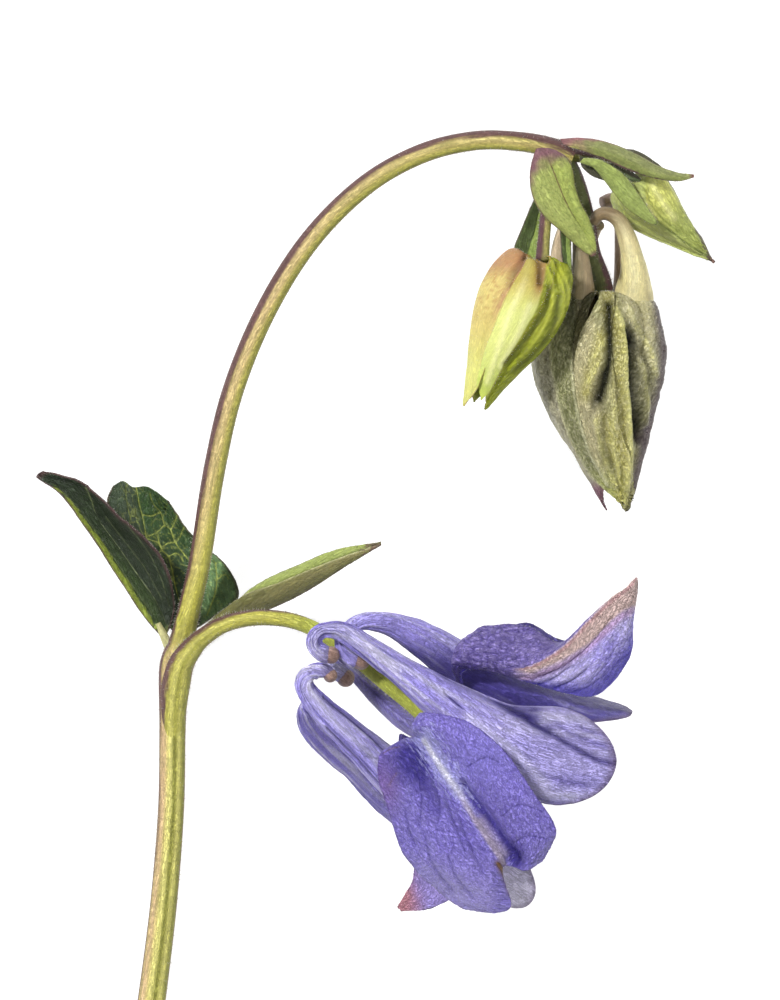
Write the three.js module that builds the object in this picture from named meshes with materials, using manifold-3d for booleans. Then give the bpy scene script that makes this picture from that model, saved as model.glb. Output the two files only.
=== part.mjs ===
// A cut columbine stem, Aquilegia vulgaris, laid on a table: one open flower, three buds, leaves and bracts.
// Millimetres, +Z up from the table. Places are drawn as [across, down, up]: across and down are read from
// the corner of a drawing sheet that lies on the table, and up is the height over the table.
import * as THREE from "three";
import { mergeVertices } from "three/addons/utils/BufferGeometryUtils.js";
import Module from "manifold-3d";

const wasm = await Module();
wasm.setup();

// Driving dimensions
const SHEET_CENTRE = [37.56, 59.73]; // the point of the drawing sheet that lies over the origin
const BLADE = 0.6; // thickness of a leaf, bract or sepal
const WALL = 0.6; // thickness of a petal's wall
const GAP = 0.32; // clearance where one piece sits against another
const FLOWER_BASE = [44.0, 72.6, 13.5]; // middle of the receptacle
const FLOWER_AXIS = [0.83, 0.56, 0]; // the way the flower's mouth faces, as drawn
const SEPALS = 5; // round a bud
const BUD_VALLEY = 0.87; // how far the seams between a bud's sepals lie in, as a share of its radius
const BUD_KEEL = 0.03; // how far each sepal's keel stands out, as a share of the radius
const VALLEY_POWER = 0.7; // how narrow the seams are
const KEEL_POWER = 12; // how narrow the keels are
const ANTHERS = 20;
const ANTHER = { long: 1.5, radius: 0.42, filament: 0.2, ring: 2.2 };
const CARPELS = 5;
const CARPEL = { long: 8.0, radius: 0.5, style: 0.16, ring: 1.0 };
const HUB = { from: 2.9, to: 3.9 }; // lengths along the flower's axis where stamens and carpels are rooted

// Sides round, and steps along, each kind of tube
const STEM_SIDES = 10;
const SMALL_SIDES = 8;
const CLAW = { sides: 6, steps: 4 };
const SPUR_STEPS = 12;
const TIP = { sides: 6, steps: 3 };
const PETAL = { sides: 14, steps: 13, inner: 8 };
const SIDES_PER_SEPAL = 4;

const GREEN = { color: 0x8fa23a, roughness: 0.5 };
const LEAF_GREEN = { color: 0x2c4a2a, roughness: 0.45 };
const BRACT_GREEN = { color: 0x6f8f4a, roughness: 0.5 };
const SEPAL_VIOLET = { color: 0x6a5cc0, roughness: 0.55 };
const PETAL_VIOLET = { color: 0x8f88d2, roughness: 0.5 };
const BUD_YELLOW = { color: 0xb9b94a, roughness: 0.45 };
const BUD_GREY = { color: 0x7d8060, roughness: 0.5 };
const SPUR_TAN = { color: 0xb5a47a, roughness: 0.5 };
const ANTHER_YELLOW = { color: 0xd8c25a, roughness: 0.7 };

// ---------------------------------------------------------------- places and curves

const at = ([x, y, z]) =>
  new THREE.Vector3(x - SHEET_CENTRE[0], SHEET_CENTRE[1] - y, z);
const way = ([x, y, z]) => new THREE.Vector3(x, -y, z).normalize();
const mix = (a, b, t) => a + (b - a) * t;

// A smooth curve through rows of numbers, all of one length, read at t from 0 to 1 (uniform Catmull-Rom).
function spline(rows, t) {
  const last = rows.length - 1;
  const place = Math.min(Math.max(t, 0), 1) * last;
  const i = Math.min(Math.floor(place), last - 1);
  const f = place - i;
  const b = rows[i];
  const c = rows[i + 1];
  const a = i > 0 ? rows[i - 1] : b.map((v, k) => 2 * v - c[k]);
  const d = i + 2 <= last ? rows[i + 2] : c.map((v, k) => 2 * v - b[k]);
  return b.map(
    (v, k) =>
      0.5 *
      (2 * v +
        (c[k] - a[k]) * f +
        (2 * a[k] - 5 * v + 4 * c[k] - d[k]) * f * f +
        (3 * v - a[k] - 3 * c[k] + d[k]) * f * f * f),
  );
}

// ---------------------------------------------------------------- closed meshes

function geometry(points, index) {
  const g = new THREE.BufferGeometry();
  g.setAttribute(
    "position",
    new THREE.Float32BufferAttribute(
      points.flatMap((p) => [p.x, p.y, p.z]),
      3,
    ),
  );
  g.setIndex(index);
  return g;
}

// Joins rings that have the same number of points into a skin, and closes both ends with a fan.
function loft(rings) {
  const n = rings[0].length;
  const points = rings.flat();
  const index = [];
  for (let r = 0; r + 1 < rings.length; r++)
    for (let k = 0; k < n; k++) {
      const a = r * n + k;
      const b = r * n + ((k + 1) % n);
      index.push(a, b, a + n, b, b + n, a + n);
    }
  for (const end of [0, rings.length - 1]) {
    const middle = new THREE.Vector3();
    rings[end].forEach((p) => middle.addScaledVector(p, 1 / n));
    const m = points.push(middle) - 1;
    for (let k = 0; k < n; k++) {
      const a = end * n + k;
      const b = end * n + ((k + 1) % n);
      if (end === 0) index.push(m, b, a);
      else index.push(m, a, b);
    }
  }
  return geometry(points, index);
}

// The ring at t of a route of rows [across, down, up, half width, half depth], its depth turned to out.
function ring(rows, t, out, angles) {
  const step = 0.004;
  const c = spline(rows, t);
  const ahead = at(spline(rows, Math.min(t + step, 1)));
  const tangent = ahead.sub(at(spline(rows, Math.max(t - step, 0)))).normalize();
  const side = new THREE.Vector3().crossVectors(tangent, out).normalize();
  const depth = new THREE.Vector3().crossVectors(side, tangent);
  const [, , , a, b = a] = c;
  return angles.map((q) =>
    at(c)
      .addScaledVector(side, a * Math.sin(q))
      .addScaledVector(depth, b * Math.cos(q)),
  );
}

const turn = (sides) =>
  Array.from({ length: sides }, (_, k) => (2 * Math.PI * k) / sides);
const steps = (count) => Array.from({ length: count + 1 }, (_, k) => k / count);

// A round stalk of varying radius along rows [across, down, up, radius].
function stalk(rows, sides, count) {
  const up = new THREE.Vector3(0, 0, 1);
  return loft(steps(count).map((t) => ring(rows, t, up, turn(sides))));
}

// A thin leaf-like body. grid holds rows of places from base to tip, each row from one margin to the other.
function blade(grid, along, across, thick = BLADE) {
  const place = (u, v) =>
    at(spline(grid.map((row) => spline(row, v)), u));
  // Normals are taken over a wide patch, and from the middle near both ends, so that the faces never cross.
  const reach = 0.2;
  const calm = 0.25;
  const normal = (u, v) => {
    const middle = Math.max(1 - Math.min(u, 1 - u) / calm, 0);
    const [s, t] = [mix(u, 0.5, calm * middle), mix(v, 0.5, middle)];
    const du = place(Math.min(s + reach, 1), t).sub(place(Math.max(s - reach, 0), t));
    const dv = place(s, Math.min(t + reach, 1)).sub(place(s, Math.max(t - reach, 0)));
    return du.cross(dv).normalize();
  };
  const points = [];
  const index = [];
  const wide = across + 1;
  const half = (along + 1) * wide;
  for (const face of [0.5, -0.5])
    for (const u of steps(along))
      for (const v of steps(across))
        points.push(place(u, v).addScaledVector(normal(u, v), face * thick));
  for (let i = 0; i < along; i++)
    for (let j = 0; j < across; j++) {
      const a = i * wide + j;
      index.push(a, a + wide, a + 1, a + 1, a + wide, a + wide + 1);
      const b = a + half;
      index.push(b, b + 1, b + wide, b + 1, b + wide + 1, b + wide);
    }
  const edge = (a, b) => index.push(a, b, a + half, b, b + half, a + half);
  for (let i = 0; i < along; i++) {
    edge((i + 1) * wide, i * wide);
    edge(i * wide + across, (i + 1) * wide + across);
  }
  for (let j = 0; j < across; j++) {
    edge(j, j + 1);
    edge(along * wide + j + 1, along * wide + j);
  }
  return geometry(points, index);
}

// A spurred petal: a tube from the spur's tip that opens into a mouth, its outer side drawn out into a blade.
function petal({ rows, facing, mouth, hollow, round = 1 }) {
  const out = way(facing);
  const reach = (q) => mouth + (1 - mouth) * Math.pow(0.5 + 0.5 * Math.cos(q), round);
  const place = (f, q) => ring(rows, f * reach(q), out, [q])[0];
  const step = 0.01;
  const normal = (f, q) => {
    const df = place(Math.min(f + step, 1), q).sub(place(f - step, q));
    const dq = place(f, q + step).sub(place(f, q - step));
    return dq.cross(df).normalize();
  };
  const inside = (f, q) => place(f, q).addScaledVector(normal(f, q), -WALL);
  const outerRings = steps(PETAL.steps).map((f) => turn(PETAL.sides).map((q) => place(f, q)));
  const innerRings = steps(PETAL.inner).map((s) =>
    turn(PETAL.sides).map((q) => inside(mix(1, hollow, s), q)),
  );
  return loft([...outerRings, ...innerRings]);
}

// ---------------------------------------------------------------- joining

// A closed geometry as a solid, with its faces turned out.
function solid(g) {
  const merged = mergeVertices(g, 1e-4);
  const vertProperties = merged.attributes.position.array;
  const triVerts = new Uint32Array(merged.index.array);
  const made = new wasm.Manifold(new wasm.Mesh({ numProp: 3, vertProperties, triVerts }));
  if (made.volume() >= 0) return made;
  for (let i = 0; i < triVerts.length; i += 3)
    [triVerts[i], triVerts[i + 1]] = [triVerts[i + 1], triVerts[i]];
  return new wasm.Manifold(new wasm.Mesh({ numProp: 3, vertProperties, triVerts }));
}

const join = (geometries) => geometries.map(solid).reduce((a, b) => a.add(b));

// Cuts away what lies under the table, so that the piece rests on a small flat spot.
function rested(made) {
  const [wide, deep] = [300, 20];
  const table = new THREE.BoxGeometry(wide, wide, deep).translate(0, 0, -deep / 2).toNonIndexed();
  table.deleteAttribute("normal");
  table.deleteAttribute("uv");
  return made.subtract(solid(table));
}

// The largest body of a solid that a cut may have left in pieces.
const largest = (made) =>
  made.decompose().reduce((a, b) => (a.volume() > b.volume() ? a : b));

// The rows of a pocket for a stalk: wider by the clearance, and deeper by it at the root.
function pocket(rows) {
  const [root, next] = rows;
  const back = at(root).sub(at(next)).normalize().multiplyScalar(GAP);
  const deeper = [root[0] + back.x, root[1] - back.y, root[2] + back.z, root[3]];
  return [deeper, ...rows].map(([x, y, z, r]) => [x, y, z, r + GAP]);
}

const group = new THREE.Group();

function add(name, made, material) {
  const { numProp, numVert, vertProperties, triVerts } = made.getMesh();
  const positions = new Float32Array(numVert * 3);
  for (let i = 0; i < numVert; i++)
    positions.set(vertProperties.subarray(i * numProp, i * numProp + 3), i * 3);
  const g = new THREE.BufferGeometry();
  g.setAttribute("position", new THREE.BufferAttribute(positions, 3));
  g.setIndex(new THREE.BufferAttribute(triVerts, 1));
  const mesh = new THREE.Mesh(g, new THREE.MeshStandardMaterial(material));
  mesh.name = name;
  group.add(mesh);
}

// ---------------------------------------------------------------- stem

// rows: [across, down, up, radius]
const MAIN_STEM = [
  [14.2, 106.2, 1.36, 1.43],
  [15.3, 98.5, 1.6, 1.41],
  [16.3, 90.0, 2.1, 1.36],
  [17.0, 81.0, 2.9, 1.32],
  [17.15, 73.0, 3.9, 1.34],
  [17.3, 67.0, 4.8, 1.5],
  [18.0, 63.4, 5.2, 1.45],
  [19.0, 60.5, 5.5, 1.3],
  [20.0, 55.5, 6.0, 1.2],
  [21.4, 47.0, 6.9, 1.1],
  [23.3, 39.0, 7.6, 1.08],
  [26.6, 31.0, 8.4, 1.07],
  [31.0, 24.0, 9.1, 1.05],
  [36.4, 18.6, 9.7, 1.02],
  [42.0, 15.4, 10.2, 0.98],
  [47.5, 14.05, 10.7, 0.96],
  [52.5, 14.2, 11.0, 0.97],
  [55.8, 15.0, 11.2, 1.05],
  [57.4, 15.6, 11.2, 0.8],
];

const PEDUNCLE = [
  [17.3, 71.5, 4.6, 0.7],
  [17.75, 67.6, 5.6, 1.05],
  [18.7, 65.4, 6.6, 1.02],
  [20.2, 63.8, 7.8, 0.92],
  [22.3, 62.5, 9.3, 0.84],
  [25.2, 61.8, 11.0, 0.8],
  [28.6, 61.95, 12.5, 0.78],
  [31.6, 63.0, 13.3, 0.78],
  [34.8, 65.1, 13.6, 0.78],
  [38.2, 68.0, 13.6, 0.8],
  [41.3, 70.5, 13.5, 0.85],
  [43.0, 71.8, 13.5, 1.15],
  [44.2, 72.7, 13.5, 2.0],
  [45.6, 73.7, 13.5, 1.5],
];

const BUD_LEFT_STALK = [
  [55.0, 15.2, 11.2, 0.7],
  [54.9, 18.0, 11.5, 0.65],
  [54.7, 20.8, 11.7, 0.62],
  [54.45, 23.2, 12.6, 0.6],
  [54.2, 26.2, 14.2, 0.7],
];

const BUD_LARGE_STALK = [
  [56.3, 15.2, 11.0, 0.8],
  [57.6, 18.0, 9.8, 0.85],
  [58.6, 21.5, 8.4, 0.85],
  [59.2, 25.0, 7.4, 0.85],
  [60.0, 27.4, 6.8, 0.95],
  [60.2, 28.5, 6.6, 1.1],
];

const BUD_RIGHT_STALK = [
  [57.0, 15.4, 11.0, 0.7],
  [59.6, 15.9, 10.2, 0.55],
  [61.3, 16.4, 9.3, 0.5],
  [62.2, 17.0, 8.8, 0.52],
  [62.7, 17.6, 8.5, 0.6],
];

const stem = join([
  stalk(MAIN_STEM, STEM_SIDES, 46),
  stalk(PEDUNCLE, SMALL_SIDES, 30),
  stalk(BUD_LEFT_STALK, SMALL_SIDES, 6),
  stalk(BUD_LARGE_STALK, SMALL_SIDES, 8),
  stalk(BUD_RIGHT_STALK, SMALL_SIDES, 7),
]);
add("stem", rested(stem), GREEN);

// ---------------------------------------------------------------- leaves at the node

// rows from base to tip, each from margin to margin
const LEAF_LEFT = [
  [[15.4, 64.0, 4.5], [15.6, 63.9, 4.5], [15.7, 63.8, 4.5], [15.8, 63.7, 4.5], [15.9, 63.6, 4.5]],
  [[14.4, 62.0, 4.3], [15.1, 61.8, 3.8], [15.7, 61.3, 3.5], [16.3, 60.9, 4.0], [16.8, 60.4, 4.5]],
  [[12.1, 58.5, 5.2], [12.8, 58.0, 4.4], [13.5, 57.3, 4.0], [14.4, 56.5, 5.0], [15.2, 55.8, 6.2]],
  [[9.3, 54.0, 6.4], [10.0, 53.5, 5.5], [10.7, 52.9, 5.0], [11.4, 52.3, 6.0], [12.0, 51.7, 7.4]],
  [[6.1, 49.6, 6.8], [6.7, 49.3, 6.2], [7.3, 48.9, 6.0], [7.8, 48.6, 6.4], [8.2, 48.3, 7.2]],
  [[3.5, 47.7, 6.4], [3.6, 47.5, 6.4], [3.8, 47.3, 6.4], [4.0, 47.2, 6.4], [4.2, 47.1, 6.4]],
];

const LEAF_BACK = [
  [[17.5, 63.6, 3.0], [17.9, 63.5, 3.0], [18.3, 63.4, 3.0], [18.7, 63.3, 3.0], [19.1, 63.2, 3.0]],
  [[15.2, 60.6, 2.2], [16.2, 60.5, 2.2], [17.2, 60.0, 1.9], [19.4, 60.7, 1.8], [21.4, 61.7, 1.5]],
  [[13.0, 57.0, 1.9], [14.2, 57.0, 1.8], [15.7, 56.6, 1.2], [20.0, 57.9, 1.2], [23.8, 59.7, 1.3]],
  [[11.5, 53.4, 1.9], [12.8, 53.5, 1.6], [14.6, 53.8, 0.9], [19.0, 55.2, 0.5], [22.5, 56.5, 0.9]],
  [[10.6, 50.3, 2.2], [12.2, 50.4, 1.8], [13.9, 51.0, 0.9], [17.0, 52.1, 0.2], [19.2, 53.7, 0.6]],
  [[11.2, 48.6, 2.4], [12.2, 48.1, 2.1], [13.2, 48.7, 1.5], [14.7, 48.7, 0.9], [16.7, 50.1, 0.9]],
];

const LEAF_RIGHT = [
  [[20.0, 63.7, 4.6], [20.1, 63.5, 4.6], [20.2, 63.2, 4.6], [20.3, 62.9, 4.6], [20.4, 62.7, 4.6]],
  [[23.4, 62.2, 5.2], [23.2, 61.6, 5.7], [23.1, 61.1, 6.0], [23.0, 60.8, 5.8], [22.9, 60.6, 5.3]],
  [[27.0, 60.3, 5.7], [26.8, 59.6, 6.4], [26.6, 59.0, 6.8], [26.4, 58.6, 6.7], [26.3, 58.3, 6.1]],
  [[30.2, 58.7, 6.4], [30.1, 58.0, 7.0], [30.0, 57.4, 7.3], [29.9, 57.0, 7.2], [29.8, 56.7, 6.7]],
  [[34.1, 56.4, 7.2], [34.0, 56.1, 7.4], [33.9, 55.8, 7.6], [33.8, 55.5, 7.5], [33.7, 55.2, 7.3]],
  [[38.1, 54.5, 7.8], [38.1, 54.4, 7.8], [38.1, 54.35, 7.8], [38.1, 54.3, 7.8], [38.1, 54.2, 7.8]],
];

// ---------------------------------------------------------------- bracts at the bud stalks

const BRACT_FRONT = [
  [[53.6, 14.9, 13.0], [54.0, 14.8, 13.1], [54.5, 14.8, 13.2], [55.1, 14.9, 13.1], [55.7, 15.1, 12.9]],
  [[53.2, 16.2, 13.2], [54.0, 16.1, 13.5], [54.9, 16.0, 13.4], [55.8, 15.9, 13.6], [56.7, 15.8, 13.3]],
  [[53.0, 17.8, 13.3], [54.2, 17.7, 13.8], [55.5, 17.5, 13.6], [56.5, 17.2, 13.9], [57.2, 16.9, 13.5]],
  [[53.3, 19.7, 13.3], [54.8, 19.5, 13.9], [56.2, 19.3, 13.7], [57.0, 19.0, 14.0], [57.5, 18.7, 13.6]],
  [[54.3, 21.5, 13.3], [55.7, 21.3, 13.9], [57.0, 21.0, 13.7], [57.6, 20.7, 14.0], [58.1, 20.4, 13.7]],
  [[56.1, 23.1, 13.3], [57.1, 22.9, 13.8], [58.0, 22.6, 13.6], [58.5, 22.3, 13.9], [58.9, 21.9, 13.6]],
  [[57.8, 24.7, 13.2], [58.4, 24.5, 13.5], [58.9, 24.2, 13.4], [59.2, 24.0, 13.5], [59.5, 23.8, 13.4]],
  [[59.2, 25.6, 13.0], [59.3, 25.6, 13.0], [59.4, 25.5, 13.0], [59.5, 25.5, 13.0], [59.6, 25.4, 13.0]],
];

const BRACT_UPPER = [
  [[56.0, 13.9, 12.7], [56.2, 14.2, 12.8], [56.4, 14.5, 12.8]],
  [[58.2, 13.8, 12.8], [58.3, 14.5, 13.1], [58.4, 15.1, 12.8]],
  [[60.6, 14.2, 12.8], [60.6, 15.1, 13.3], [60.5, 15.9, 12.9]],
  [[63.2, 15.2, 12.8], [63.0, 16.1, 13.4], [62.6, 16.9, 13.0]],
  [[65.6, 16.5, 12.8], [65.3, 17.2, 13.3], [65.0, 17.7, 13.0]],
  [[67.8, 17.3, 12.8], [67.7, 17.7, 13.1], [67.6, 18.1, 12.9]],
  [[69.4, 17.45, 12.8], [69.4, 17.6, 12.8], [69.4, 17.75, 12.8]],
];

const BRACT_LOWER = [
  [[57.8, 16.5, 12.6], [58.1, 16.2, 12.7], [58.5, 16.0, 12.6]],
  [[58.8, 17.6, 12.3], [59.5, 16.9, 12.7], [60.2, 16.2, 12.5]],
  [[60.2, 19.2, 12.2], [61.1, 18.3, 12.7], [62.0, 17.5, 12.4]],
  [[62.0, 21.0, 12.3], [62.9, 20.3, 12.8], [63.6, 19.5, 12.4]],
  [[64.0, 22.2, 12.4], [64.4, 21.8, 12.6], [64.7, 21.4, 12.4]],
  [[65.5, 22.4, 12.4], [65.6, 22.3, 12.4], [65.7, 22.2, 12.4]],
];

const BRACT_BEHIND = [
  [[54.2, 18.2, 10.2], [54.6, 18.2, 10.2], [55.0, 18.2, 10.2]],
  [[53.1, 20.6, 9.9], [54.0, 20.7, 9.6], [54.8, 20.8, 9.9]],
  [[52.2, 22.8, 9.4], [53.5, 23.0, 8.9], [54.7, 23.2, 9.3]],
  [[51.4, 24.8, 9.0], [52.8, 25.2, 8.4], [54.3, 25.4, 8.8]],
  [[51.3, 26.4, 7.9], [52.5, 26.8, 7.5], [53.8, 27.0, 7.8]],
  [[51.8, 28.0, 7.0], [52.3, 28.2, 7.0], [52.8, 28.3, 7.0]],
];

const BRACT_NARROW = [
  [[56.3, 18.4, 12.6], [56.7, 18.3, 12.6], [57.1, 18.2, 12.6]],
  [[56.0, 21.4, 12.2], [56.6, 21.4, 12.0], [57.1, 21.4, 12.2]],
  [[56.1, 24.4, 11.7], [56.6, 24.4, 11.4], [57.1, 24.4, 11.6]],
  [[56.4, 26.8, 11.2], [56.8, 26.8, 11.0], [57.2, 26.8, 11.1]],
  [[56.9, 28.7, 10.8], [57.0, 28.7, 10.8], [57.1, 28.7, 10.8]],
];

const GREEN_BLADES = {
  leaf_left: { grid: LEAF_LEFT, along: 12, across: 6, material: LEAF_GREEN },
  leaf_back: { grid: LEAF_BACK, along: 10, across: 10, material: LEAF_GREEN },
  leaf_right: { grid: LEAF_RIGHT, along: 12, across: 5, material: LEAF_GREEN },
  bract_front: { grid: BRACT_FRONT, along: 10, across: 5, material: BRACT_GREEN },
  bract_upper: { grid: BRACT_UPPER, along: 10, across: 4, material: BRACT_GREEN },
  bract_lower: { grid: BRACT_LOWER, along: 8, across: 4, material: BRACT_GREEN },
  bract_behind: { grid: BRACT_BEHIND, along: 6, across: 4, material: BRACT_GREEN },
  bract_narrow: { grid: BRACT_NARROW, along: 5, across: 3, material: BRACT_GREEN },
};

function addBlades(blades) {
  for (const [name, { grid, along, across, material }] of Object.entries(blades))
    add(name, rested(solid(blade(grid, along, across))), material);
}
addBlades(GREEN_BLADES);

// ---------------------------------------------------------------- buds

// A closed bud: keeled sepals round its axis, drawn as one ribbed body that is drawn out into points.
// axis: rows [across, down, up]; profile: rows [share of the axis, radius, how far the keels rise above it];
// phase: the first keel's turn round the axis; tips: routes of the points, rows [across, down, up, radius].
function bud({ axis, profile, phase, tips }) {
  const up = new THREE.Vector3(0, 0, 1);
  const lobe = (q) => Math.abs(Math.cos((SEPALS / 2) * (q - phase)));
  const rib = (q) =>
    mix(BUD_VALLEY, 1, Math.pow(lobe(q), VALLEY_POWER)) + BUD_KEEL * Math.pow(lobe(q), KEEL_POWER);
  const angles = turn(SEPALS * SIDES_PER_SEPAL).map((q) => q + phase);
  const step = 0.02;
  const body = profile.map(([s, r, rise = 0]) => {
    const rows = axis.map((place) => [...place, r]);
    const here = at(spline(axis, s));
    const along = at(spline(axis, s + step)).sub(here).normalize();
    return ring(rows, s, up, angles).map((p, k) =>
      p
        .sub(here)
        .multiplyScalar(rib(angles[k]))
        .add(here)
        .addScaledVector(along, -rise * lobe(angles[k])),
    );
  });
  return join([loft(body), ...tips.map((rows) => stalk(rows, TIP.sides, TIP.steps))]);
}

const BUD_LEFT = {
  phase: 0,
  axis: [
    [54.0, 26.6, 14.4],
    [52.5, 29.6, 14.4],
    [50.8, 33.2, 14.4],
    [49.2, 36.4, 14.4],
    [47.9, 39.2, 14.4],
  ],
  profile: [
    [0.06, 0.9],
    [0.04, 1.6, 0.2],
    [0.02, 2.6, 0.7],
    [0.03, 3.5, 0.6],
    [0.09, 4.05],
    [0.19, 4.4],
    [0.32, 4.5],
    [0.46, 4.15],
    [0.6, 3.5],
    [0.74, 2.7],
    [0.86, 1.9],
    [0.95, 1.3],
    [1, 1.0],
  ],
  tips: [
    [[48.9, 36.6, 15.2, 1.2], [47.9, 38.6, 15.5, 0.75], [48.1, 40.0, 15.4, 0.32]],
    [[48.4, 36.4, 14.4, 1.2], [46.8, 38.8, 14.6, 0.65], [46.35, 40.6, 14.8, 0.3]],
    [[49.4, 37.0, 14.2, 1.2], [49.1, 38.8, 14.3, 0.7], [48.5, 41.0, 14.4, 0.32]],
    [[48.6, 36.8, 13.4, 1.2], [47.8, 38.6, 13.2, 0.7], [47.4, 40.2, 13.0, 0.32]],
    [[49.3, 36.8, 13.4, 1.2], [48.8, 38.4, 13.3, 0.7], [48.8, 40.0, 13.2, 0.32]],
  ],
};

const BUD_LARGE = {
  phase: -0.26,
  axis: [
    [60.3, 29.0, 6.43],
    [59.6, 34.0, 6.43],
    [59.95, 39.0, 6.4],
    [60.9, 44.2, 6.4],
    [61.8, 49.2, 6.4],
  ],
  profile: [
    [0.05, 1.5],
    [0.035, 3.0, 0.3],
    [0.03, 4.6, 0.6],
    [0.06, 5.6, 0.3],
    [0.13, 6.25],
    [0.23, 6.7],
    [0.36, 6.8],
    [0.49, 6.3],
    [0.61, 5.4],
    [0.73, 4.2],
    [0.84, 3.05],
    [0.93, 2.1],
    [1, 1.4],
  ],
  tips: [
    [[61.9, 46.6, 7.38, 1.6], [62.5, 49.0, 7.48, 0.95], [62.75, 51.1, 7.38, 0.4]],
    [[60.8, 46.6, 6.18, 1.5], [60.6, 48.8, 5.98, 0.8], [60.75, 51.0, 5.78, 0.35]],
    [[62.2, 46.4, 6.18, 1.5], [62.4, 48.4, 5.88, 0.8], [62.3, 50.2, 5.68, 0.35]],
    [[61.0, 46.4, 5.18, 1.4], [61.2, 48.4, 5.08, 0.8], [61.2, 50.0, 4.98, 0.35]],
    [[61.8, 46.4, 4.98, 1.4], [61.9, 48.2, 4.88, 0.8], [61.8, 49.8, 4.78, 0.35]],
  ],
};

const BUD_RIGHT = {
  phase: 0.4,
  axis: [
    [63.0, 17.9, 8.5],
    [65.0, 20.2, 8.5],
    [67.4, 22.6, 8.5],
    [70.2, 25.1, 8.5],
  ],
  profile: [
    [0.04, 0.8],
    [0.0, 1.8, 0.2],
    [0.04, 2.5, 0.2],
    [0.13, 2.95],
    [0.27, 3.1],
    [0.42, 2.8],
    [0.57, 2.3],
    [0.72, 1.7],
    [0.86, 1.2],
    [1, 0.75],
  ],
  tips: [[[69.0, 24.0, 8.5, 1.1], [70.4, 25.3, 8.5, 0.6], [71.5, 26.2, 8.5, 0.3]]],
};

// The large bud's petal spurs stand up from between its sepals and hook inwards.
// rows: [across, down, up, radius], root first
const BUD_SPURS = [
  [
    [63.5, 32.0, 8.4, 1.5],
    [63.9, 29.8, 9.3, 1.5],
    [63.7, 27.4, 10.2, 1.35],
    [63.2, 25.2, 10.7, 1.12],
    [62.7, 23.2, 11.0, 0.95],
    [61.9, 21.7, 11.1, 0.85],
    [60.8, 21.0, 11.0, 0.8],
    [59.8, 21.3, 10.9, 0.75],
    [59.3, 22.4, 10.8, 0.62],
  ],
  [
    [58.7, 32.4, 9.8, 1.6],
    [58.9, 30.0, 10.6, 1.55],
    [59.0, 27.6, 11.1, 1.25],
    [58.7, 25.4, 10.9, 0.95],
    [58.2, 23.9, 10.5, 0.75],
    [57.9, 22.8, 10.0, 0.6],
  ],
  [
    [56.2, 31.6, 7.4, 1.5],
    [55.9, 29.2, 7.6, 1.2],
    [55.9, 26.8, 7.6, 0.9],
    [56.0, 24.6, 7.7, 0.75],
    [56.5, 22.8, 7.9, 0.65],
    [57.0, 22.0, 7.9, 0.55],
  ],
  [
    [58.7, 31.4, 3.3, 1.4],
    [58.5, 28.8, 3.1, 1.15],
    [58.6, 26.4, 3.4, 0.9],
    [59.0, 24.2, 3.8, 0.75],
    [59.6, 22.8, 4.4, 0.65],
    [60.0, 22.4, 5.2, 0.55],
  ],
  [
    [62.3, 31.4, 3.8, 1.4],
    [62.5, 28.6, 3.9, 1.15],
    [62.4, 25.8, 4.2, 0.9],
    [62.3, 23.2, 4.6, 0.8],
    [62.1, 21.0, 5.1, 0.75],
    [61.3, 19.95, 5.6, 0.72],
    [60.3, 20.2, 6.2, 0.62],
  ],
];

add("bud_left", bud(BUD_LEFT), BUD_YELLOW);
const spurPockets = join(BUD_SPURS.map((rows) => stalk(pocket(rows), SMALL_SIDES, SPUR_STEPS)));
add("bud_large", largest(rested(bud(BUD_LARGE)).subtract(spurPockets)), BUD_GREY);
add("bud_right", bud(BUD_RIGHT), BUD_YELLOW);
BUD_SPURS.forEach((rows, k) =>
  add("bud_spur_" + (k + 1), solid(stalk(rows, SMALL_SIDES, SPUR_STEPS)), SPUR_TAN),
);

// ---------------------------------------------------------------- the flower's sepals

const SEPAL_FRONT = [
  [[42.6, 74.4, 15.4], [42.9, 74.4, 15.6], [43.2, 74.3, 15.8], [43.5, 74.1, 15.8], [43.8, 73.9, 15.8]],
  [[40.6, 74.6, 18.6], [41.3, 74.2, 18.8], [42.0, 73.9, 18.8], [42.2, 73.5, 19.0], [42.4, 73.1, 19.0]],
  [[38.2, 75.3, 20.6], [40.2, 74.2, 21.4], [42.4, 74.1, 21.0], [41.5, 72.7, 22.1], [42.2, 71.2, 22.8]],
  [[37.9, 77.7, 21.0], [40.8, 76.9, 23.4], [44.0, 76.8, 22.2], [45.6, 73.8, 24.4], [46.5, 72.0, 24.2]],
  [[38.9, 81.0, 21.2], [43.0, 80.9, 24.6], [46.4, 80.3, 23.2], [49.2, 76.6, 25.7], [50.2, 74.8, 25.6]],
  [[40.4, 85.3, 20.6], [45.2, 84.6, 25.2], [48.7, 83.0, 23.8], [51.6, 80.6, 26.2], [53.2, 79.0, 26.4]],
  [[43.6, 88.8, 19.4], [47.2, 87.6, 24.6], [50.2, 85.3, 23.6], [53.2, 83.6, 25.6], [55.4, 82.2, 25.6]],
  [[48.4, 91.4, 18.8], [50.4, 89.6, 22.8], [50.3, 86.7, 22.6], [52.7, 86.3, 24.0], [54.8, 84.9, 23.4]],
];

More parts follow.
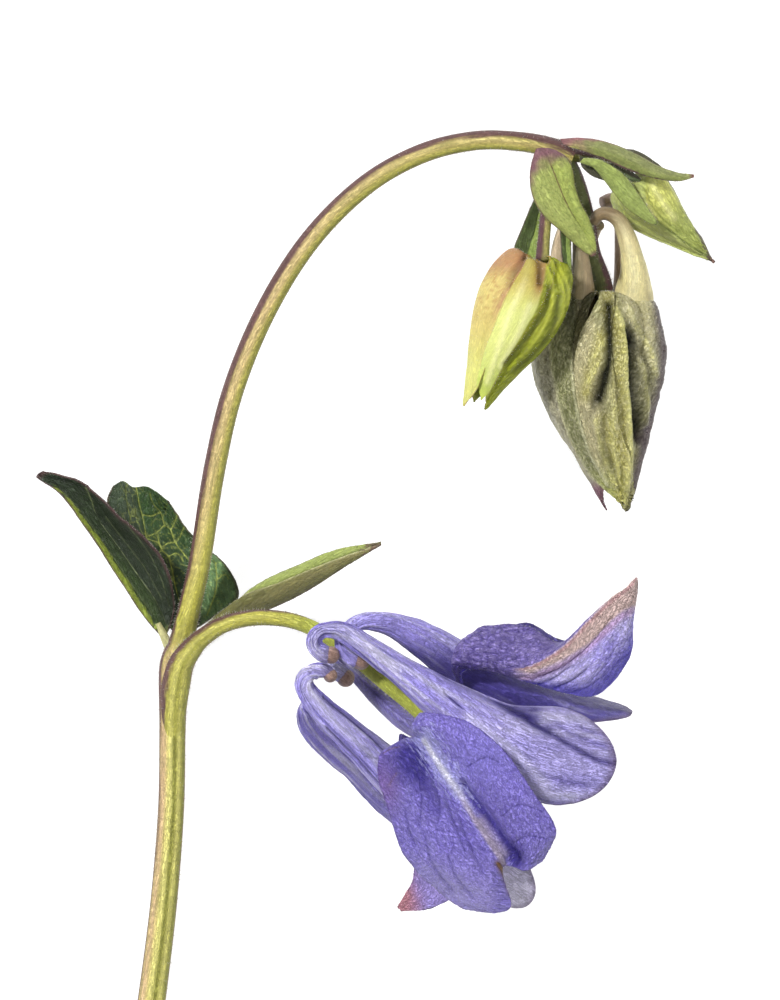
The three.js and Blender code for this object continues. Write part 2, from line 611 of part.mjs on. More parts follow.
const SEPAL_TOP = [
  [[45.6, 71.2, 15.3], [45.5, 71.15, 15.35], [45.4, 71.1, 15.4], [45.3, 71.05, 15.35], [45.2, 71.0, 15.3]],
  [[46.3, 69.0, 16.8], [46.2, 68.8, 16.9], [46.0, 68.6, 16.9], [45.8, 68.4, 16.9], [45.7, 68.2, 16.8]],
  [[46.2, 67.0, 18.8], [45.7, 66.6, 19.4], [45.5, 65.9, 19.9], [45.9, 64.5, 20.0], [47.2, 63.4, 18.8]],
  [[49.0, 67.0, 19.0], [48.8, 66.7, 19.6], [48.9, 66.2, 20.3], [49.0, 64.5, 21.1], [50.2, 62.5, 19.0]],
  [[52.2, 67.9, 19.0], [52.2, 67.5, 19.8], [52.3, 66.8, 20.7], [52.1, 65.2, 20.7], [53.0, 62.8, 19.0]],
  [[56.4, 69.2, 19.0], [56.2, 67.4, 20.8], [56.1, 65.0, 22.0], [55.2, 65.0, 20.4], [55.4, 64.2, 19.0]],
  [[59.8, 69.3, 19.0], [59.4, 66.2, 21.8], [59.0, 62.1, 22.4], [58.4, 62.8, 20.8], [57.6, 64.0, 19.4]],
  [[62.8, 65.8, 19.6], [62.0, 63.2, 21.8], [61.1, 60.1, 22.2], [60.8, 60.8, 21.0], [60.2, 61.6, 20.0]],
  [[63.2, 61.9, 20.0], [63.0, 60.6, 21.3], [62.7, 58.9, 21.7], [62.5, 59.3, 20.9], [62.3, 59.7, 20.2]],
  [[63.7, 58.4, 20.9], [63.65, 58.1, 20.9], [63.6, 57.8, 20.9], [63.55, 57.8, 20.7], [63.5, 57.9, 20.6]],
];

const SEPAL_LOW = [
  [[42.3, 74.6, 12.9], [42.6, 74.8, 12.9], [42.9, 75.0, 12.9]],
  [[41.0, 73.9, 12.7], [41.9, 74.7, 12.7], [42.8, 75.4, 12.7]],
  [[39.9, 73.6, 12.5], [41.5, 75.0, 12.4], [43.2, 76.2, 12.4]],
  [[40.4, 77.0, 12.5], [42.4, 77.2, 12.3], [44.4, 77.4, 12.3]],
  [[40.9, 81.0, 12.2], [43.2, 81.2, 12.0], [45.5, 81.4, 12.0]],
  [[41.3, 85.0, 11.8], [44.0, 85.3, 11.6], [46.6, 85.6, 11.4]],
  [[41.3, 87.8, 12.0], [43.8, 88.6, 11.8], [46.4, 88.8, 11.6]],
  [[40.5, 89.4, 12.4], [41.9, 90.2, 12.3], [43.2, 90.8, 12.2]],
  [[39.7, 90.7, 12.8], [39.9, 90.9, 12.8], [40.1, 91.1, 12.8]],
];

const SEPAL_BEHIND = [
  [[44.9, 70.7, 12.3], [45.3, 70.9, 12.3], [45.7, 71.1, 12.3]],
  [[46.4, 67.2, 9.8], [48.2, 68.2, 9.4], [50.0, 69.2, 9.6]],
  [[49.2, 63.9, 7.6], [51.4, 66.0, 6.6], [53.6, 68.0, 7.4]],
  [[52.6, 62.3, 5.6], [54.8, 65.0, 4.4], [57.0, 67.6, 5.6]],
  [[56.0, 64.0, 3.6], [57.8, 65.4, 2.8], [59.8, 66.8, 3.8]],
  [[60.2, 64.6, 2.4], [60.4, 64.8, 2.4], [60.6, 65.0, 2.4]],
];

const SEPAL_UNDER = [
  [[43.4, 72.9, 10.8], [43.9, 73.0, 10.7], [44.4, 73.1, 10.8]],
  [[42.4, 76.3, 9.2], [43.1, 76.3, 9.1], [43.8, 76.2, 9.2]],
  [[42.2, 78.6, 5.8], [43.6, 78.3, 5.2], [45.0, 77.8, 5.6]],
  [[42.2, 81.4, 2.2], [44.8, 80.2, 1.3], [47.2, 78.4, 1.8]],
  [[43.6, 84.4, 0.9], [46.8, 82.0, 0.15], [49.6, 79.0, 0.5]],
  [[46.6, 86.4, 0.9], [49.4, 83.8, 0.2], [51.6, 81.0, 0.7]],
  [[50.0, 86.4, 1.6], [51.4, 84.6, 1.2], [52.6, 82.8, 1.5]],
  [[52.8, 85.2, 2.4], [53.0, 85.0, 2.4], [53.2, 84.8, 2.4]],
];

addBlades({
  sepal_front: { grid: SEPAL_FRONT, along: 12, across: 10, material: SEPAL_VIOLET },
  sepal_top: { grid: SEPAL_TOP, along: 14, across: 10, material: SEPAL_VIOLET },
  sepal_low: { grid: SEPAL_LOW, along: 12, across: 5, material: SEPAL_VIOLET },
  sepal_behind: { grid: SEPAL_BEHIND, along: 10, across: 6, material: SEPAL_VIOLET },
  sepal_under: { grid: SEPAL_UNDER, along: 11, across: 6, material: SEPAL_VIOLET },
});

// ---------------------------------------------------------------- the flower's petals

// facing: the blade's outer side; rows: [across, down, up, half width, half depth], spur tip to blade tip;
// mouth and hollow: shares of the length where the inner lip lies and where the hollow ends; round: how
// square the blade's end is; claw: rows [across, down, up, radius] of its foot at the receptacle.
const PETALS = {
  front: {
    facing: [0, 0, 1],
    rows: [
      [33.4, 65.5, 17.2, 0.5, 0.5],
      [32.5, 65.4, 17.3, 0.85, 0.85],
      [31.6, 64.6, 17.6, 0.75, 0.75],
      [31.6, 63.6, 18.0, 0.72, 0.72],
      [32.6, 62.95, 18.3, 0.75, 0.75],
      [34.6, 63.3, 18.5, 0.95, 0.9],
      [38.0, 65.6, 18.5, 1.2, 1.1],
      [41.6, 68.1, 18.4, 1.75, 1.5],
      [45.8, 71.0, 18.9, 2.5, 1.65],
      [50.4, 73.9, 20.0, 3.7, 2.1],
      [55.5, 75.5, 21.6, 4.9, 2.1],
      [61.7, 76.6, 22.6, 4.6, 1.6],
    ],
    mouth: 0.7,
    hollow: 0.62,
    round: 0.6,
    claw: [[45.4, 73.1, 16.25, 0.45], [45.0, 71.8, 17.0, 0.6], [44.4, 70.6, 17.6, 0.8]],
  },
  top: {
    facing: [0.5, -0.8, 0.3],
    rows: [
      [36.4, 66.1, 16.5, 0.5, 0.5],
      [35.6, 65.9, 16.6, 0.8, 0.8],
      [34.6, 65.1, 16.7, 0.75, 0.75],
      [34.3, 63.9, 16.6, 0.72, 0.72],
      [34.9, 62.8, 16.3, 0.75, 0.75],
      [36.6, 62.1, 16.0, 0.9, 0.9],
      [39.4, 62.5, 15.6, 1.3, 1.3],
      [43.0, 64.4, 15.1, 1.8, 1.9],
      [47.0, 67.2, 14.5, 2.2, 2.3],
      [51.6, 69.5, 14.3, 3.2, 2.3],
      [57.0, 71.3, 14.4, 3.9, 2.0],
      [62.9, 72.7, 14.7, 3.8, 1.6],
    ],
    mouth: 0.7,
    hollow: 0.62,
    claw: [[46.75, 71.15, 14.05, 0.45], [46.2, 69.8, 14.0, 0.6], [45.6, 68.4, 14.0, 0.8]],
  },
  low_front: {
    facing: [-0.4, 0.6, 0.7],
    rows: [
      [33.2, 67.7, 15.6, 0.45, 0.45],
      [32.6, 67.1, 15.6, 0.7, 0.7],
      [31.6, 66.95, 15.6, 0.7, 0.7],
      [30.75, 67.6, 15.6, 0.75, 0.75],
      [30.7, 68.9, 15.7, 0.95, 0.95],
      [32.0, 70.7, 15.8, 1.2, 1.2],
      [34.6, 73.1, 16.0, 1.55, 1.5],
      [37.8, 75.9, 16.2, 1.9, 1.9],
      [41.4, 79.4, 16.6, 2.5, 2.2],
      [45.0, 82.6, 17.0, 3.4, 2.2],
      [48.8, 85.9, 17.4, 4.3, 2.0],
      [52.7, 88.4, 17.6, 4.6, 1.6],
    ],
    mouth: 0.72,
    hollow: 0.62,
    round: 0.7,
    claw: [[43.9, 75.15, 14.35, 0.45], [42.9, 76.7, 14.9, 0.6], [42.0, 77.9, 15.3, 0.8]],
  },
  low_back: {
    facing: [-0.45, 0.6, -0.7],
    rows: [
      [32.4, 70.8, 11.2, 0.45, 0.45],
      [31.8, 70.5, 11.0, 0.7, 0.7],
      [31.0, 70.5, 10.6, 0.7, 0.7],
      [30.5, 71.2, 10.2, 0.75, 0.75],
      [30.9, 72.6, 9.8, 0.9, 0.9],
      [32.8, 74.6, 9.4, 1.1, 1.1],
      [35.8, 77.2, 9.2, 1.35, 1.3],
      [38.8, 79.9, 8.8, 1.7, 1.7],
      [42.2, 82.0, 8.0, 2.2, 2.0],
      [45.6, 83.8, 7.2, 3.2, 2.0],
      [48.4, 85.4, 6.4, 4.0, 1.8],
      [51.0, 86.8, 5.8, 4.0, 1.4],
    ],
    mouth: 0.76,
    hollow: 0.62,
    round: 0.8,
    claw: [[44.2, 74.95, 11.5, 0.45], [44.2, 78.0, 10.6, 0.6], [44.1, 81.5, 9.0, 0.9]],
  },
  back: {
    facing: [0.2, -0.3, -1],
    rows: [
      [34.8, 68.0, 13.0, 0.55, 0.55],
      [34.2, 67.5, 13.0, 0.85, 0.85],
      [33.2, 66.6, 12.7, 0.75, 0.75],
      [32.9, 65.7, 11.8, 0.72, 0.72],
      [33.5, 65.4, 10.6, 0.75, 0.75],
      [35.0, 66.4, 9.8, 0.9, 0.9],
      [37.6, 69.0, 9.2, 1.2, 1.2],
      [40.6, 71.4, 8.6, 1.6, 1.5],
      [44.6, 73.2, 7.8, 2.2, 1.9],
      [49.2, 74.6, 6.8, 3.2, 2.0],
      [54.0, 76.0, 5.8, 4.4, 1.8],
      [58.4, 77.4, 5.0, 4.6, 1.4],
    ],
    mouth: 0.76,
    hollow: 0.62,
    claw: [[45.95, 72.2, 11.15, 0.45], [45.9, 73.1, 10.2, 0.6], [45.6, 74.0, 8.9, 0.8]],
  },
};

for (const [name, shape] of Object.entries(PETALS)) {
  const claw = stalk(shape.claw, CLAW.sides, CLAW.steps);
  add("petal_" + name, join([petal(shape), claw]), PETAL_VIOLET);
}

// ---------------------------------------------------------------- stamens and carpels

// A place in the flower's own frame: a length along its axis, and a radius and a turn round it.
function flowerPlace(along, radius, q) {
  const axis = way(FLOWER_AXIS);
  const up = new THREE.Vector3(0, 0, 1);
  const side = new THREE.Vector3().crossVectors(axis, up);
  return at(FLOWER_BASE)
    .addScaledVector(axis, along)
    .addScaledVector(side, radius * Math.sin(q))
    .addScaledVector(up, radius * Math.cos(q));
}

// Rings round a straight line, stations [share of the way, radius].
function turned(from, to, stations, sides) {
  const aside = new THREE.Vector3(0.3, 0.2, 0.93); // any direction that is never along the line
  const tangent = to.clone().sub(from).normalize();
  const side = new THREE.Vector3().crossVectors(tangent, aside).normalize();
  const depth = new THREE.Vector3().crossVectors(side, tangent);
  const place = (t, r, q) =>
    from
      .clone()
      .lerp(to, t)
      .addScaledVector(side, r * Math.sin(q))
      .addScaledVector(depth, r * Math.cos(q));
  return loft(stations.map(([t, r]) => turn(sides).map((q) => place(t, r, q))));
}

// A disc on the flower's axis, grown by a margin all round.
const hub = (radius, margin = 0) =>
  turned(
    flowerPlace(HUB.from - margin, 0, 0),
    flowerPlace(HUB.to + margin, 0, 0),
    [[0, radius], [1, radius]],
    12,
  );

// The brush of stamens: slender filaments sunk in a ring, each with an anther on its end.
function stamens() {
  const { long, radius, filament, ring: ringRadius } = ANTHER;
  const foot = (HUB.from + HUB.to) / 2;
  const parts = [hub(ringRadius)];
  for (let k = 0; k < ANTHERS; k++) {
    const q = (2 * Math.PI * k) / ANTHERS;
    const outer = 0.5 * (k % 2);
    const reach = 7.8 + 1.8 * Math.sin(2.4 * k) + 2 * outer; // uneven lengths, the outer ones longer
    const root = flowerPlace(foot, 0.73 * ringRadius, q);
    const head = flowerPlace(reach, 2.0 + outer, q + 0.1);
    const tip = flowerPlace(reach + long, 2.1 + outer, q + 0.1);
    parts.push(turned(root, head, [[0, filament], [1, 0.8 * filament]], 4));
    parts.push(turned(head, tip, [[-0.2, filament], [0.4, radius], [1, filament]], 5));
  }
  return join(parts).subtract(solid(hub(CARPEL.ring + GAP, 0.5)));
}

// Green carpels standing in the middle of the stamens, drawn out into styles.
function carpels() {
  const { long, radius, style, ring: ringRadius } = CARPEL;
  const foot = (HUB.from + HUB.to) / 2;
  const shape = [[0, 0.7 * radius], [0.35, radius], [0.6, 0.6 * radius], [1, style]];
  const parts = [hub(ringRadius)];
  for (let k = 0; k < CARPELS; k++) {
    const q = (2 * Math.PI * k) / CARPELS + 0.3;
    const top = flowerPlace(foot + long, 0.75 * ringRadius, q);
    parts.push(turned(flowerPlace(foot, 0.6 * ringRadius, q), top, shape, 6));
  }
  return join(parts);
}

add("stamens", stamens(), ANTHER_YELLOW);
add("carpels", carpels(), GREEN);

export default group;
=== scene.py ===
"""A cut columbine stem, laid on a pale table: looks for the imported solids.

Places in the tables are [across, down, up] in millimetres, read from the corner of a drawing sheet on the
table; sheet() turns them into the frame's metres. A piece NAME_dressed replaces the solid NAME; the hairs and
the small bracts behind the others are pieces of their own.
"""

import math
from itertools import product

import bpy
import numpy as np
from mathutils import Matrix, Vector


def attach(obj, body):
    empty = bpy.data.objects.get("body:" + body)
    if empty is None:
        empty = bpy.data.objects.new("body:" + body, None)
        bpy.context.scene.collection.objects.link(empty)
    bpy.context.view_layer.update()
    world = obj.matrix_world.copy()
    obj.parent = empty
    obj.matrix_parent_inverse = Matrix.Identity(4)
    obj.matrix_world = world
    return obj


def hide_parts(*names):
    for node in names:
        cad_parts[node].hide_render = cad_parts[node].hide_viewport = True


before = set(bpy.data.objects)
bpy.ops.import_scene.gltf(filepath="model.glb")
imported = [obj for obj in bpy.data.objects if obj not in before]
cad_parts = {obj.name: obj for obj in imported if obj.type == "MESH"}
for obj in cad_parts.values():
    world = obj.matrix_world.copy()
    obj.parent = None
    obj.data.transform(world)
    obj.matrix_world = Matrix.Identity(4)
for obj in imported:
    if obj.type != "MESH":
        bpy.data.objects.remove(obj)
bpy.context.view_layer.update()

# ---------------------------------------------------------------- measures

MM = 0.001
SHEET_CENTRE = (37.56, 59.73)  # the point of the sheet that lies over the origin
FLOWER_BASE = [44.0, 72.6, 13.5]  # middle of the receptacle
FLOWER_AXIS = [0.83, 0.56, 0]  # the way the flower's mouth faces, as drawn
ANTHERS = 34
CARPELS = 5
SEPALS = 5  # round a bud
BUD_VALLEY = 0.87  # how far the seams between a bud's sepals lie in, as a share of its radius
BUD_KEEL = 0.03  # how far each sepal's keel stands out
SEPAL_WALL = (0.12, 0.3)  # a bud sepal's thickness at its rim and in its middle, in millimetres
LEAF_WALL = (0.16, 0.34)  # the same of leaves, bracts and the flower's sepals
PETAL_WALL = (0.16, 0.5)  # the same of petals
KNOB = 0.03  # share of a petal's length that its rounded tip takes up
GOLDEN = 0.618  # turns from one anther to the next
CAMERA_REACH = 2.5  # metres from the camera to the middle of the object's height
FRAME_HEIGHT = 0.1  # metres of the sheet in the picture's height
FRAME_MIDDLE = [39.0, 50.0, 13.0]  # the place on the sheet that the camera looks down on
SENSOR = 36.0  # millimetres
FLOOR_HALF = 3.0  # metres
UP = np.array([0.0, 0.0, 1.0])

# ---------------------------------------------------------------- curves and noise


def sheet(places):
    """Places on the drawing sheet, in millimetres, as points of the frame in metres."""
    p = np.asarray(places, float)
    x = p[..., 0] - SHEET_CENTRE[0]
    y = SHEET_CENTRE[1] - p[..., 1]
    return np.stack([x, y, p[..., 2]], -1) * MM


def way(direction):
    """A direction drawn on the sheet, as a unit vector of the frame."""
    d = np.array([direction[0], -direction[1], direction[2]], float)
    return d / np.linalg.norm(d)


def weights(count, t):
    """How much each of count rows gives a Catmull-Rom curve at the shares t: one more axis than t."""
    t = np.asarray(t, float)
    place = np.clip(t, 0, 1) * (count - 1)
    i = np.minimum(place.astype(int), count - 2)
    f = place - i
    before = (-f + 2 * f**2 - f**3) / 2
    here = (2 - 5 * f**2 + 3 * f**3) / 2
    ahead = (f + 4 * f**2 - 3 * f**3) / 2
    beyond = (f**3 - f**2) / 2
    table = np.zeros(t.shape + (count,))

    def give(row, amount):
        spot = np.expand_dims(np.clip(row, 0, count - 1), -1)
        held = np.take_along_axis(table, spot, -1)
        np.put_along_axis(table, spot, held + np.expand_dims(amount, -1), -1)

    first, last = i == 0, i == count - 2
    give(i, here + np.where(first, 2 * before, 0) - np.where(last, beyond, 0))
    give(i + 1, ahead + np.where(last, 2 * beyond, 0) - np.where(first, before, 0))
    give(i - 1, np.where(first, 0, before))
    give(i + 2, np.where(last, 0, beyond))
    return table


def spline(rows, t):
    """A smooth curve through rows of numbers, read at the shares t."""
    return weights(len(rows), t) @ np.array(rows, float)


def curve(rows, t):
    """Like spline, for rows of [share, value, ...] whose first column says where they stand."""
    rows = np.array(rows, float)
    return np.stack([np.interp(t, rows[:, 0], rows[:, k]) for k in range(1, rows.shape[1])], -1)


def unit(v):
    return v / np.maximum(np.linalg.norm(v, axis=-1, keepdims=True), 1e-12)


def bump(x, middle, width):
    """A smooth hump of height 1 at middle."""
    return np.exp(-(((x - middle) / width) ** 2))


def ease(x, low, high):
    """0 below low, 1 above high, smooth in between."""
    t = np.clip((x - low) / (high - low), 0, 1)
    return t * t * (3 - 2 * t)


def scatter(cell, seed):
    """A repeatable 30-bit number for each integer cell."""
    mixed = (cell[..., 0] * 73856093) ^ (cell[..., 1] * 19349663) ^ (seed * 83492791)
    if cell.shape[-1] == 3:
        mixed = mixed ^ (cell[..., 2] * 49979687)
    mixed = mixed & 0x7FFFFFFF
    mixed = ((mixed ^ (mixed >> 13)) * 1274126177) & 0x7FFFFFFF
    return (mixed ^ (mixed >> 15)) & 0x3FFFFFFF


def noise(p, seed=0):
    """Smooth noise between about -1 and 1, with one feature to a unit of p (..., 3)."""
    base = np.floor(p).astype(np.int64)
    f = p - base
    soft = f * f * f * (f * (f * 6 - 15) + 10)
    total = np.zeros(p.shape[:-1])
    for corner in product((0, 1), repeat=3):
        spot = np.array(corner)
        h = scatter(base + spot, seed)
        slope = np.stack([((h >> k) & 1023) / 511.5 - 1 for k in (0, 10, 20)], -1)
        share = np.prod(np.where(spot == 1, soft, 1 - soft), -1)
        total += share * np.sum(slope * (f - spot), -1)
    return total * 1.6


def ribs(q, run, count, along, seed):
    """Uneven lengthwise ribs round a tube, from about -1 to 1: how many, and how long each is."""
    radius = count / (2 * np.pi)
    return noise(np.stack([np.cos(q) * radius, np.sin(q) * radius, run / along], -1), seed)


def creases(p, seed=0):
    """Sharp folds: 1 on a crease, falling away to 0."""
    return 1 - np.clip(np.abs(noise(p, seed)) * 3, 0, 1)


def cells(p, seed=0):
    """Distances of points p (..., 2) to the nearest two of the scattered centres, one to a unit square."""
    base = np.floor(p).astype(np.int64)
    near = np.full(p.shape[:-1], 9.0)
    second = near.copy()
    for step in product((-1, 0, 1), repeat=2):
        cell = base + np.array(step)
        h = scatter(cell, seed)
        centre = cell + np.stack([(h & 1023) / 1023, ((h >> 10) & 1023) / 1023], -1)
        d = np.linalg.norm(p - centre, axis=-1)
        second = np.minimum(second, np.maximum(near, d))
        near = np.minimum(near, d)
    return near, second


# ---------------------------------------------------------------- skins


class Skin:
    """Gathers the points, faces and masks of one piece, grid by grid."""

    def __init__(self):
        self.points = []
        self.quads = []
        self.tris = []
        self.masks = []
        self.count = 0

    def grid(self, points, masks, wrap=False, flip=False):
        """Adds a grid of points and the quads between them, and returns its numbers."""
        rows, columns = points.shape[:2]
        ids = np.arange(rows * columns).reshape(rows, columns) + self.count
        self.count += rows * columns
        self.points.append(points.reshape(-1, 3))
        self.masks.append({k: np.broadcast_to(m, (rows, columns)).ravel() for k, m in masks.items()})
        across = np.concatenate([ids, ids[:, :1]], 1) if wrap else ids
        self.bridge(across, flip)
        return ids

    def bridge(self, ids, flip=False):
        """Quads between neighbouring numbers of a table."""
        a, b, c, d = ids[:-1, :-1], ids[1:, :-1], ids[1:, 1:], ids[:-1, 1:]
        order = (a, d, c, b) if flip else (a, b, c, d)
        self.quads.append(np.stack(order, -1).reshape(-1, 4))

    def cap(self, ring, middle, masks, flip=False):
        """Closes a ring of numbers with a fan round a middle point."""
        centre = self.count
        self.count += 1
        self.points.append(np.asarray(middle, float).reshape(1, 3))
        self.masks.append({k: np.array([float(m)]) for k, m in masks.items()})
        after = np.roll(ring, -1)
        first, second = (after, ring) if flip else (ring, after)
        self.tris.append(np.stack([np.full(len(ring), centre), first, second], -1))

    def piece(self, name, material, replaced=None):
        """Makes the object, and ties it to the frame."""
        mesh = bpy.data.meshes.new(name)
        faces = [f for group in self.quads + self.tris for f in group.tolist()]
        mesh.from_pydata(np.concatenate(self.points), [], faces)
        for mask in sorted({k for group in self.masks for k in group}):
            values = [g[mask] if mask in g else np.zeros(len(p)) for g, p in zip(self.masks, self.points)]
            layer = mesh.attributes.new(mask, "FLOAT", "POINT")
            layer.data.foreach_set("value", np.concatenate(values).astype(np.float32))
        mesh.shade_smooth()
        mesh.materials.append(material)
        made = bpy.data.objects.new(name, mesh)
        bpy.context.scene.collection.objects.link(made)
        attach(made, "root")
        if replaced:
            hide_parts(*replaced)
        return made


def normals(points, wrap=False):
    """Unit normals of a grid of points: along its rows crossed with along its columns."""
    down = np.gradient(points, axis=0)
    if wrap:
        across = np.roll(points, -1, 1) - np.roll(points, 1, 1)
    else:
        across = np.gradient(points, axis=1)
    return unit(np.cross(down, across))


class Patch:
    """A grid of points: its shares u (down) and v (across), its normals, its run and span in millimetres."""

    def __init__(self, u, v, points, wrap=False):
        self.u, self.v, self.p = u, v, points
        self.out = normals(points, wrap)
        steps = np.linalg.norm(np.diff(points, axis=0), axis=-1) / MM
        self.run = np.concatenate([np.zeros((1, u.shape[1])), np.cumsum(steps, 0)])
        steps = np.linalg.norm(np.diff(points, axis=1), axis=-1) / MM
        span = np.concatenate([np.zeros((u.shape[0], 1)), np.cumsum(steps, 1)], 1)
        self.span = span - span[:, span.shape[1] // 2][:, None]

    def at(self):
        """The places across and down the drawing sheet, in millimetres."""
        return self.p[..., 0] / MM + SHEET_CENTRE[0], SHEET_CENTRE[1] - self.p[..., 1] / MM

    def strokes(self, lines, width):
        """1 on lines [across, down] drawn on the sheet, falling to 0 about a width away."""
        flat = np.stack(self.at(), -1)
        best = np.full(flat.shape[:-1], 99.0)
        for line in lines:
            fine = spline(line, np.linspace(0, 1, 5 * len(line)))
            for a, b in zip(fine[:-1], fine[1:]):
                share = np.clip(((flat - a) @ (b - a)) / max((b - a) @ (b - a), 1e-9), 0, 1)
                best = np.minimum(best, np.linalg.norm(flat - a - share[..., None] * (b - a), axis=-1))
        return np.exp(-((best / width) ** 2))

    def right_of(self, line):
        """How many millimetres each point lies to the right of a line that runs down the sheet."""
        x, y = self.at()
        fine = spline(line, np.linspace(0, 1, 8 * len(line)))
        return x - np.interp(y, fine[:, 1], fine[:, 0])

    def crinkle(self, size, stretch, seed=0, warp=0.8):
        """Fine folds along the tissue, from about -1 in a crease to 1 on a ridge."""
        away = noise(self.p / (2.5 * size * MM), seed + 7) * warp
        up = self.p[..., 2] / MM * 0.1
        at = np.stack([self.span / size + away, self.run / (size * stretch) + away, up], -1)
        return 1 - 1.6 * creases(at, seed) ** 2 + 0.5 * noise(at * 1.9, seed + 3)


def table(shares_down, shares_across):
    """Two tables of shares, one for each direction of a grid."""
    return np.meshgrid(np.linspace(0, 1, shares_down), np.linspace(0, 1, shares_across), indexing="ij")


def wall(patch, rim, middle, reach):
    """Thickness in metres, from a thin rim to full within reach, a share of the width."""
    u, v = patch.u, patch.v
    inward = np.minimum(np.minimum(u, 1 - u) * 2.0, np.minimum(v, 1 - v))
    return (rim + (middle - rim) * ease(inward, 0, reach)) * MM


def close_rim(skin, top, low, flip):
    """Quads round the rim between the numbers of two faces."""
    for edge in (np.s_[:, 0], np.s_[-1, :], np.s_[::-1, -1], np.s_[0, ::-1]):
        skin.bridge(np.stack([low[edge], top[edge]], 1), flip)


def blade(skin, rows, size, relief, masks):
    """A thin leaf-like body with two faces and a rim.

    rows: places from base to tip, each row from margin to margin; size: points along and across;
    relief(patch): how far both faces are pushed out, in millimetres; masks(patch, side): colours' shares,
    side 1 being the face that looks up.
    """
    u, v = table(*size)
    places = np.einsum("uvr,rcx,uvc->uvx", weights(len(rows), u), sheet(rows), weights(len(rows[0]), v))
    patch = Patch(u, v, places)
    turn = 1 if patch.out[..., 2].mean() > 0 else -1
    patch.out = patch.out * turn
    patch.p = patch.p + patch.out * relief(patch)[..., None] * MM
    patch.out = normals(patch.p) * turn
    half = wall(patch, *LEAF_WALL, 0.12) / 2
    faces = []
    for side in (1, -1):
        shares = {"run": patch.run, "span": patch.span, **masks(patch, side)}
        faces.append(skin.grid(patch.p + patch.out * (side * half)[..., None], shares, flip=side * turn < 0))
    close_rim(skin, *faces, flip=turn < 0)
    return patch


def leafy(name, rows, size, relief, masks, look, replaced=True):
    """A blade as a piece of its own, which stands for the solid of its name."""
    skin = Skin()
    patch = blade(skin, rows, size, relief, masks)
    skin.piece(name + "_dressed", look, [name] if replaced else None)
    return patch


def turns(rings, around):
    """Shares along a tube and turns round it, from -180 degrees, which is its hidden side."""
    q = np.arange(around) * 2 * np.pi / around - np.pi
    return np.meshgrid(np.linspace(0, 1, rings), q, indexing="ij")


def route(rows, t, out):
    """Middle, side and depth directions and half sizes of a tube, at the shares t of its rows."""
    step = 0.004
    places = spline(rows, t)
    forward = sheet(spline(rows, np.minimum(t + step, 1))[..., :3])
    backward = sheet(spline(rows, np.maximum(t - step, 0))[..., :3])
    tangent = unit(forward - backward)
    side = unit(np.cross(tangent, out))
    depth = np.cross(side, tangent)
    return sheet(places[..., :3]), side, depth, places[..., 3] * MM, places[..., -1] * MM


def ring_points(rows, t, q, out, grow=1.0):
    """Points round a route at the shares t, q turning from out towards the side."""
    middle, side, depth, wide, deep = route(rows, t, out)
    return middle + side * (wide * grow * np.sin(q))[..., None] + depth * (deep * grow * np.cos(q))[..., None]


def ends(skin, ids, points, shares, low=True, high=True):
    """Closes the first and last rings of a wrapped grid."""
    for wanted, end, flip in ((low, 0, True), (high, -1, False)):
        if wanted:
            middle = {k: np.broadcast_to(m, points.shape[:2])[end].mean() for k, m in shares.items()}
            skin.cap(ids[end], points[end].mean(0), middle, flip)


def tube(skin, rows, size, relief, masks, out=UP):
    """A closed round body along rows [across, down, up, radius] or [..., half width, half depth].

    size: rings and points to a ring; relief(s, q): the share that the radius grows by, q turning from up to
    the side; masks(patch, s, q): colours' shares.
    """
    s, q = turns(*size)
    points = ring_points(rows, s, q, out, 1 + relief(s, q))
    patch = Patch(s, q / (2 * np.pi), points, wrap=True)
    shares = {"run": patch.run, "span": patch.span, **masks(patch, s, q)}
    ids = skin.grid(points, shares, wrap=True, flip=True)
    ends(skin, ids, points, shares)
    patch.out = -patch.out
    return patch


def still(patch, s, q):
    """No masks at all."""
    return {}


def smooth(s, q):
    """No relief at all."""
    return 0 * s


# ---------------------------------------------------------------- hairs


def hairs(name, roots, outs, long, width=0.016, seed=1):
    """Fine hairs: slender three-sided spikes of two joints, each bent a little its own way.

    roots, outs: where they grow and which way; long: one length in millimetres or one for each; width: the
    foot's radius in millimetres.
    """
    draw = np.random.default_rng(seed)
    count = len(roots)
    lean = unit(outs + draw.normal(0, 0.35, (count, 3)))
    bend = unit(lean + draw.normal(0, 0.4, (count, 3)))
    reach = (long * draw.uniform(0.6, 1.2, count) * MM)[:, None]
    foot = roots - outs * 0.03 * MM  # a little under the skin
    elbow = foot + lean * reach * 0.55
    tip = elbow + bend * reach * 0.45
    aslant = np.array([0.31, 0.52, 0.79])  # any way that no hair leans
    side = unit(np.cross(lean, aslant))
    other = np.cross(lean, side)
    corners = []
    for middle, radius in ((foot, width), (elbow, width * 0.6)):
        for q in 2 * np.pi * np.arange(3) / 3:
            corners.append(middle + (side * np.cos(q) + other * np.sin(q)) * radius * MM)
    corners.append(tip)
    pattern = []
    for k, n in ((0, 1), (1, 2), (2, 0)):
        pattern += [(k, n, 3 + n), (k, 3 + n, 3 + k), (3 + k, 3 + n, 6)]
    pattern.append((2, 1, 0))
    first = np.arange(count)[:, None, None] * len(corners)
    skin = Skin()
    skin.points = [np.stack(corners, 1).reshape(-1, 3)]
    skin.masks = [{}]
    skin.tris = [(np.array(pattern) + first).reshape(-1, 3)]
    skin.piece(name, HAIR)


def pick(points, outs, weight, count, seed):
    """Draws places on a grid of points, more of them where weight is larger."""
    draw = np.random.default_rng(seed)
    share = (np.broadcast_to(weight, points.shape[:-1]) + 0.0).ravel()
    chosen = draw.choice(share.size, count, p=share / share.sum())
    jitter = draw.uniform(-0.06, 0.06, (count, 3)) * MM
    return points.reshape(-1, 3)[chosen] + jitter, outs.reshape(-1, 3)[chosen]


